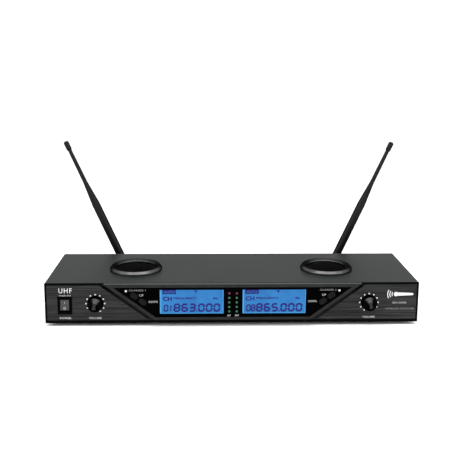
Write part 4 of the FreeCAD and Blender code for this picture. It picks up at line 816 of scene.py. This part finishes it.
def make_floor():
    """A wide pale floor."""
    reach = 8.0
    corners = [(-reach, -reach, 0), (reach, -reach, 0), (reach, reach, 0), (-reach, reach, 0)]
    data = bpy.data.meshes.new("floor")
    data.from_pydata(corners, [], [(0, 1, 2, 3)])
    floor = bpy.data.objects.new("floor", data)
    shade = Shade("floor_paint", Specular_IOR_Level=0.2)
    cloud = shade.noise(0.7, 2)
    shade.colour(shade.mix(shade.spread(cloud, 0, 1), (0.90, 0.90, 0.90), (0.93, 0.93, 0.93)))
    shade.rough(shade.spread(cloud, 0.7, 0.8))
    data.materials.append(shade.material)
    bpy.context.scene.collection.objects.link(floor)


def add_area_light(name, location, aim, size, power):
    """A rectangular soft light: its place, the point it faces, its sides in metres and its watts."""
    light = bpy.data.lights.new(name, "AREA")
    light.shape = "RECTANGLE"
    light.size, light.size_y = size
    light.energy = power
    holder = bpy.data.objects.new(name, light)
    holder.location = location
    holder.rotation_euler = (Vector(aim) - Vector(location)).to_track_quat("-Z", "Y").to_euler()
    bpy.context.scene.collection.objects.link(holder)


def make_lights():
    """A bright even room, a large soft light overhead and a weaker one on each side."""
    world = bpy.data.worlds.new("studio")
    world.use_nodes = True
    background = world.node_tree.nodes["Background"]
    background.inputs["Color"].default_value = (1, 1, 1, 1)
    background.inputs["Strength"].default_value = 1.2
    bpy.context.scene.world = world
    add_area_light("overhead", (0.02, -0.35, 0.9), aim=(0.02, 0, 0), size=(1.2, 0.5), power=9.5)
    for side, way in SIDES.items():
        add_area_light(f"side_{side}", (way * 1.3, -0.7, 0.8),
                       aim=(0, 0, 0.05), size=(0.7, 0.7), power=6)


# The viewpoint, in metres and degrees: the turn is to the right and the dip downwards. The lens
# is in millimetres and the shift in picture widths.
CAMERA_PLACE = Vector((-0.0304, -0.8523, 0.3063))
CAMERA_TURN = 1.84
CAMERA_DIP = 10.85
CAMERA_ROLL = 0.38
CAMERA_LENS = 57.46
CAMERA_SHIFT = -0.085153


def make_camera():
    """A camera a little left of the middle, looking slightly down."""
    data = bpy.data.cameras.new("camera")
    data.sensor_width = 36
    data.lens = CAMERA_LENS
    data.shift_y = CAMERA_SHIFT
    turn, dip, roll = [math.radians(angle) for angle in (CAMERA_TURN, CAMERA_DIP, CAMERA_ROLL)]
    ahead = Vector((math.sin(turn) * math.cos(dip), math.cos(turn) * math.cos(dip), -math.sin(dip)))
    right = Vector((math.cos(turn), -math.sin(turn), 0))
    up = right.cross(ahead)
    rolled_right = right * math.cos(roll) + up * math.sin(roll)
    rolled_up = up * math.cos(roll) - right * math.sin(roll)
    camera = bpy.data.objects.new("camera", data)
    axes = Matrix((rolled_right, rolled_up, -ahead)).transposed()
    camera.matrix_world = Matrix.Translation(CAMERA_PLACE) @ axes.to_4x4()
    bpy.context.scene.collection.objects.link(camera)
    bpy.context.scene.camera = camera


MATERIALS = make_materials()
dress_nodes(MATERIALS)
WHITE = ink("white_ink", (0.58, 0.58, 0.57))
GREY = ink("grey_ink", (0.36, 0.36, 0.355))
FAINT = ink("faint_ink", (0.16, 0.16, 0.16))
make_front_print(WHITE, GREY, FAINT)
make_window_print(GREY, FAINT)
make_rear_print(WHITE)
make_rocker_marks(FAINT)
DISPLAY_LOOKS = (MATERIALS["lcd_glass"], lcd_edge("lcd_glow"), lcd_ink("lcd_ink"))
make_display("left", "01", "863.000", DISPLAY_LOOKS)
make_display("right", "08", "865.000", DISPLAY_LOOKS)
make_floor()
make_lights()
make_camera()
bpy.context.scene.view_settings.view_transform = "Standard"

bpy.context.view_layer.update()
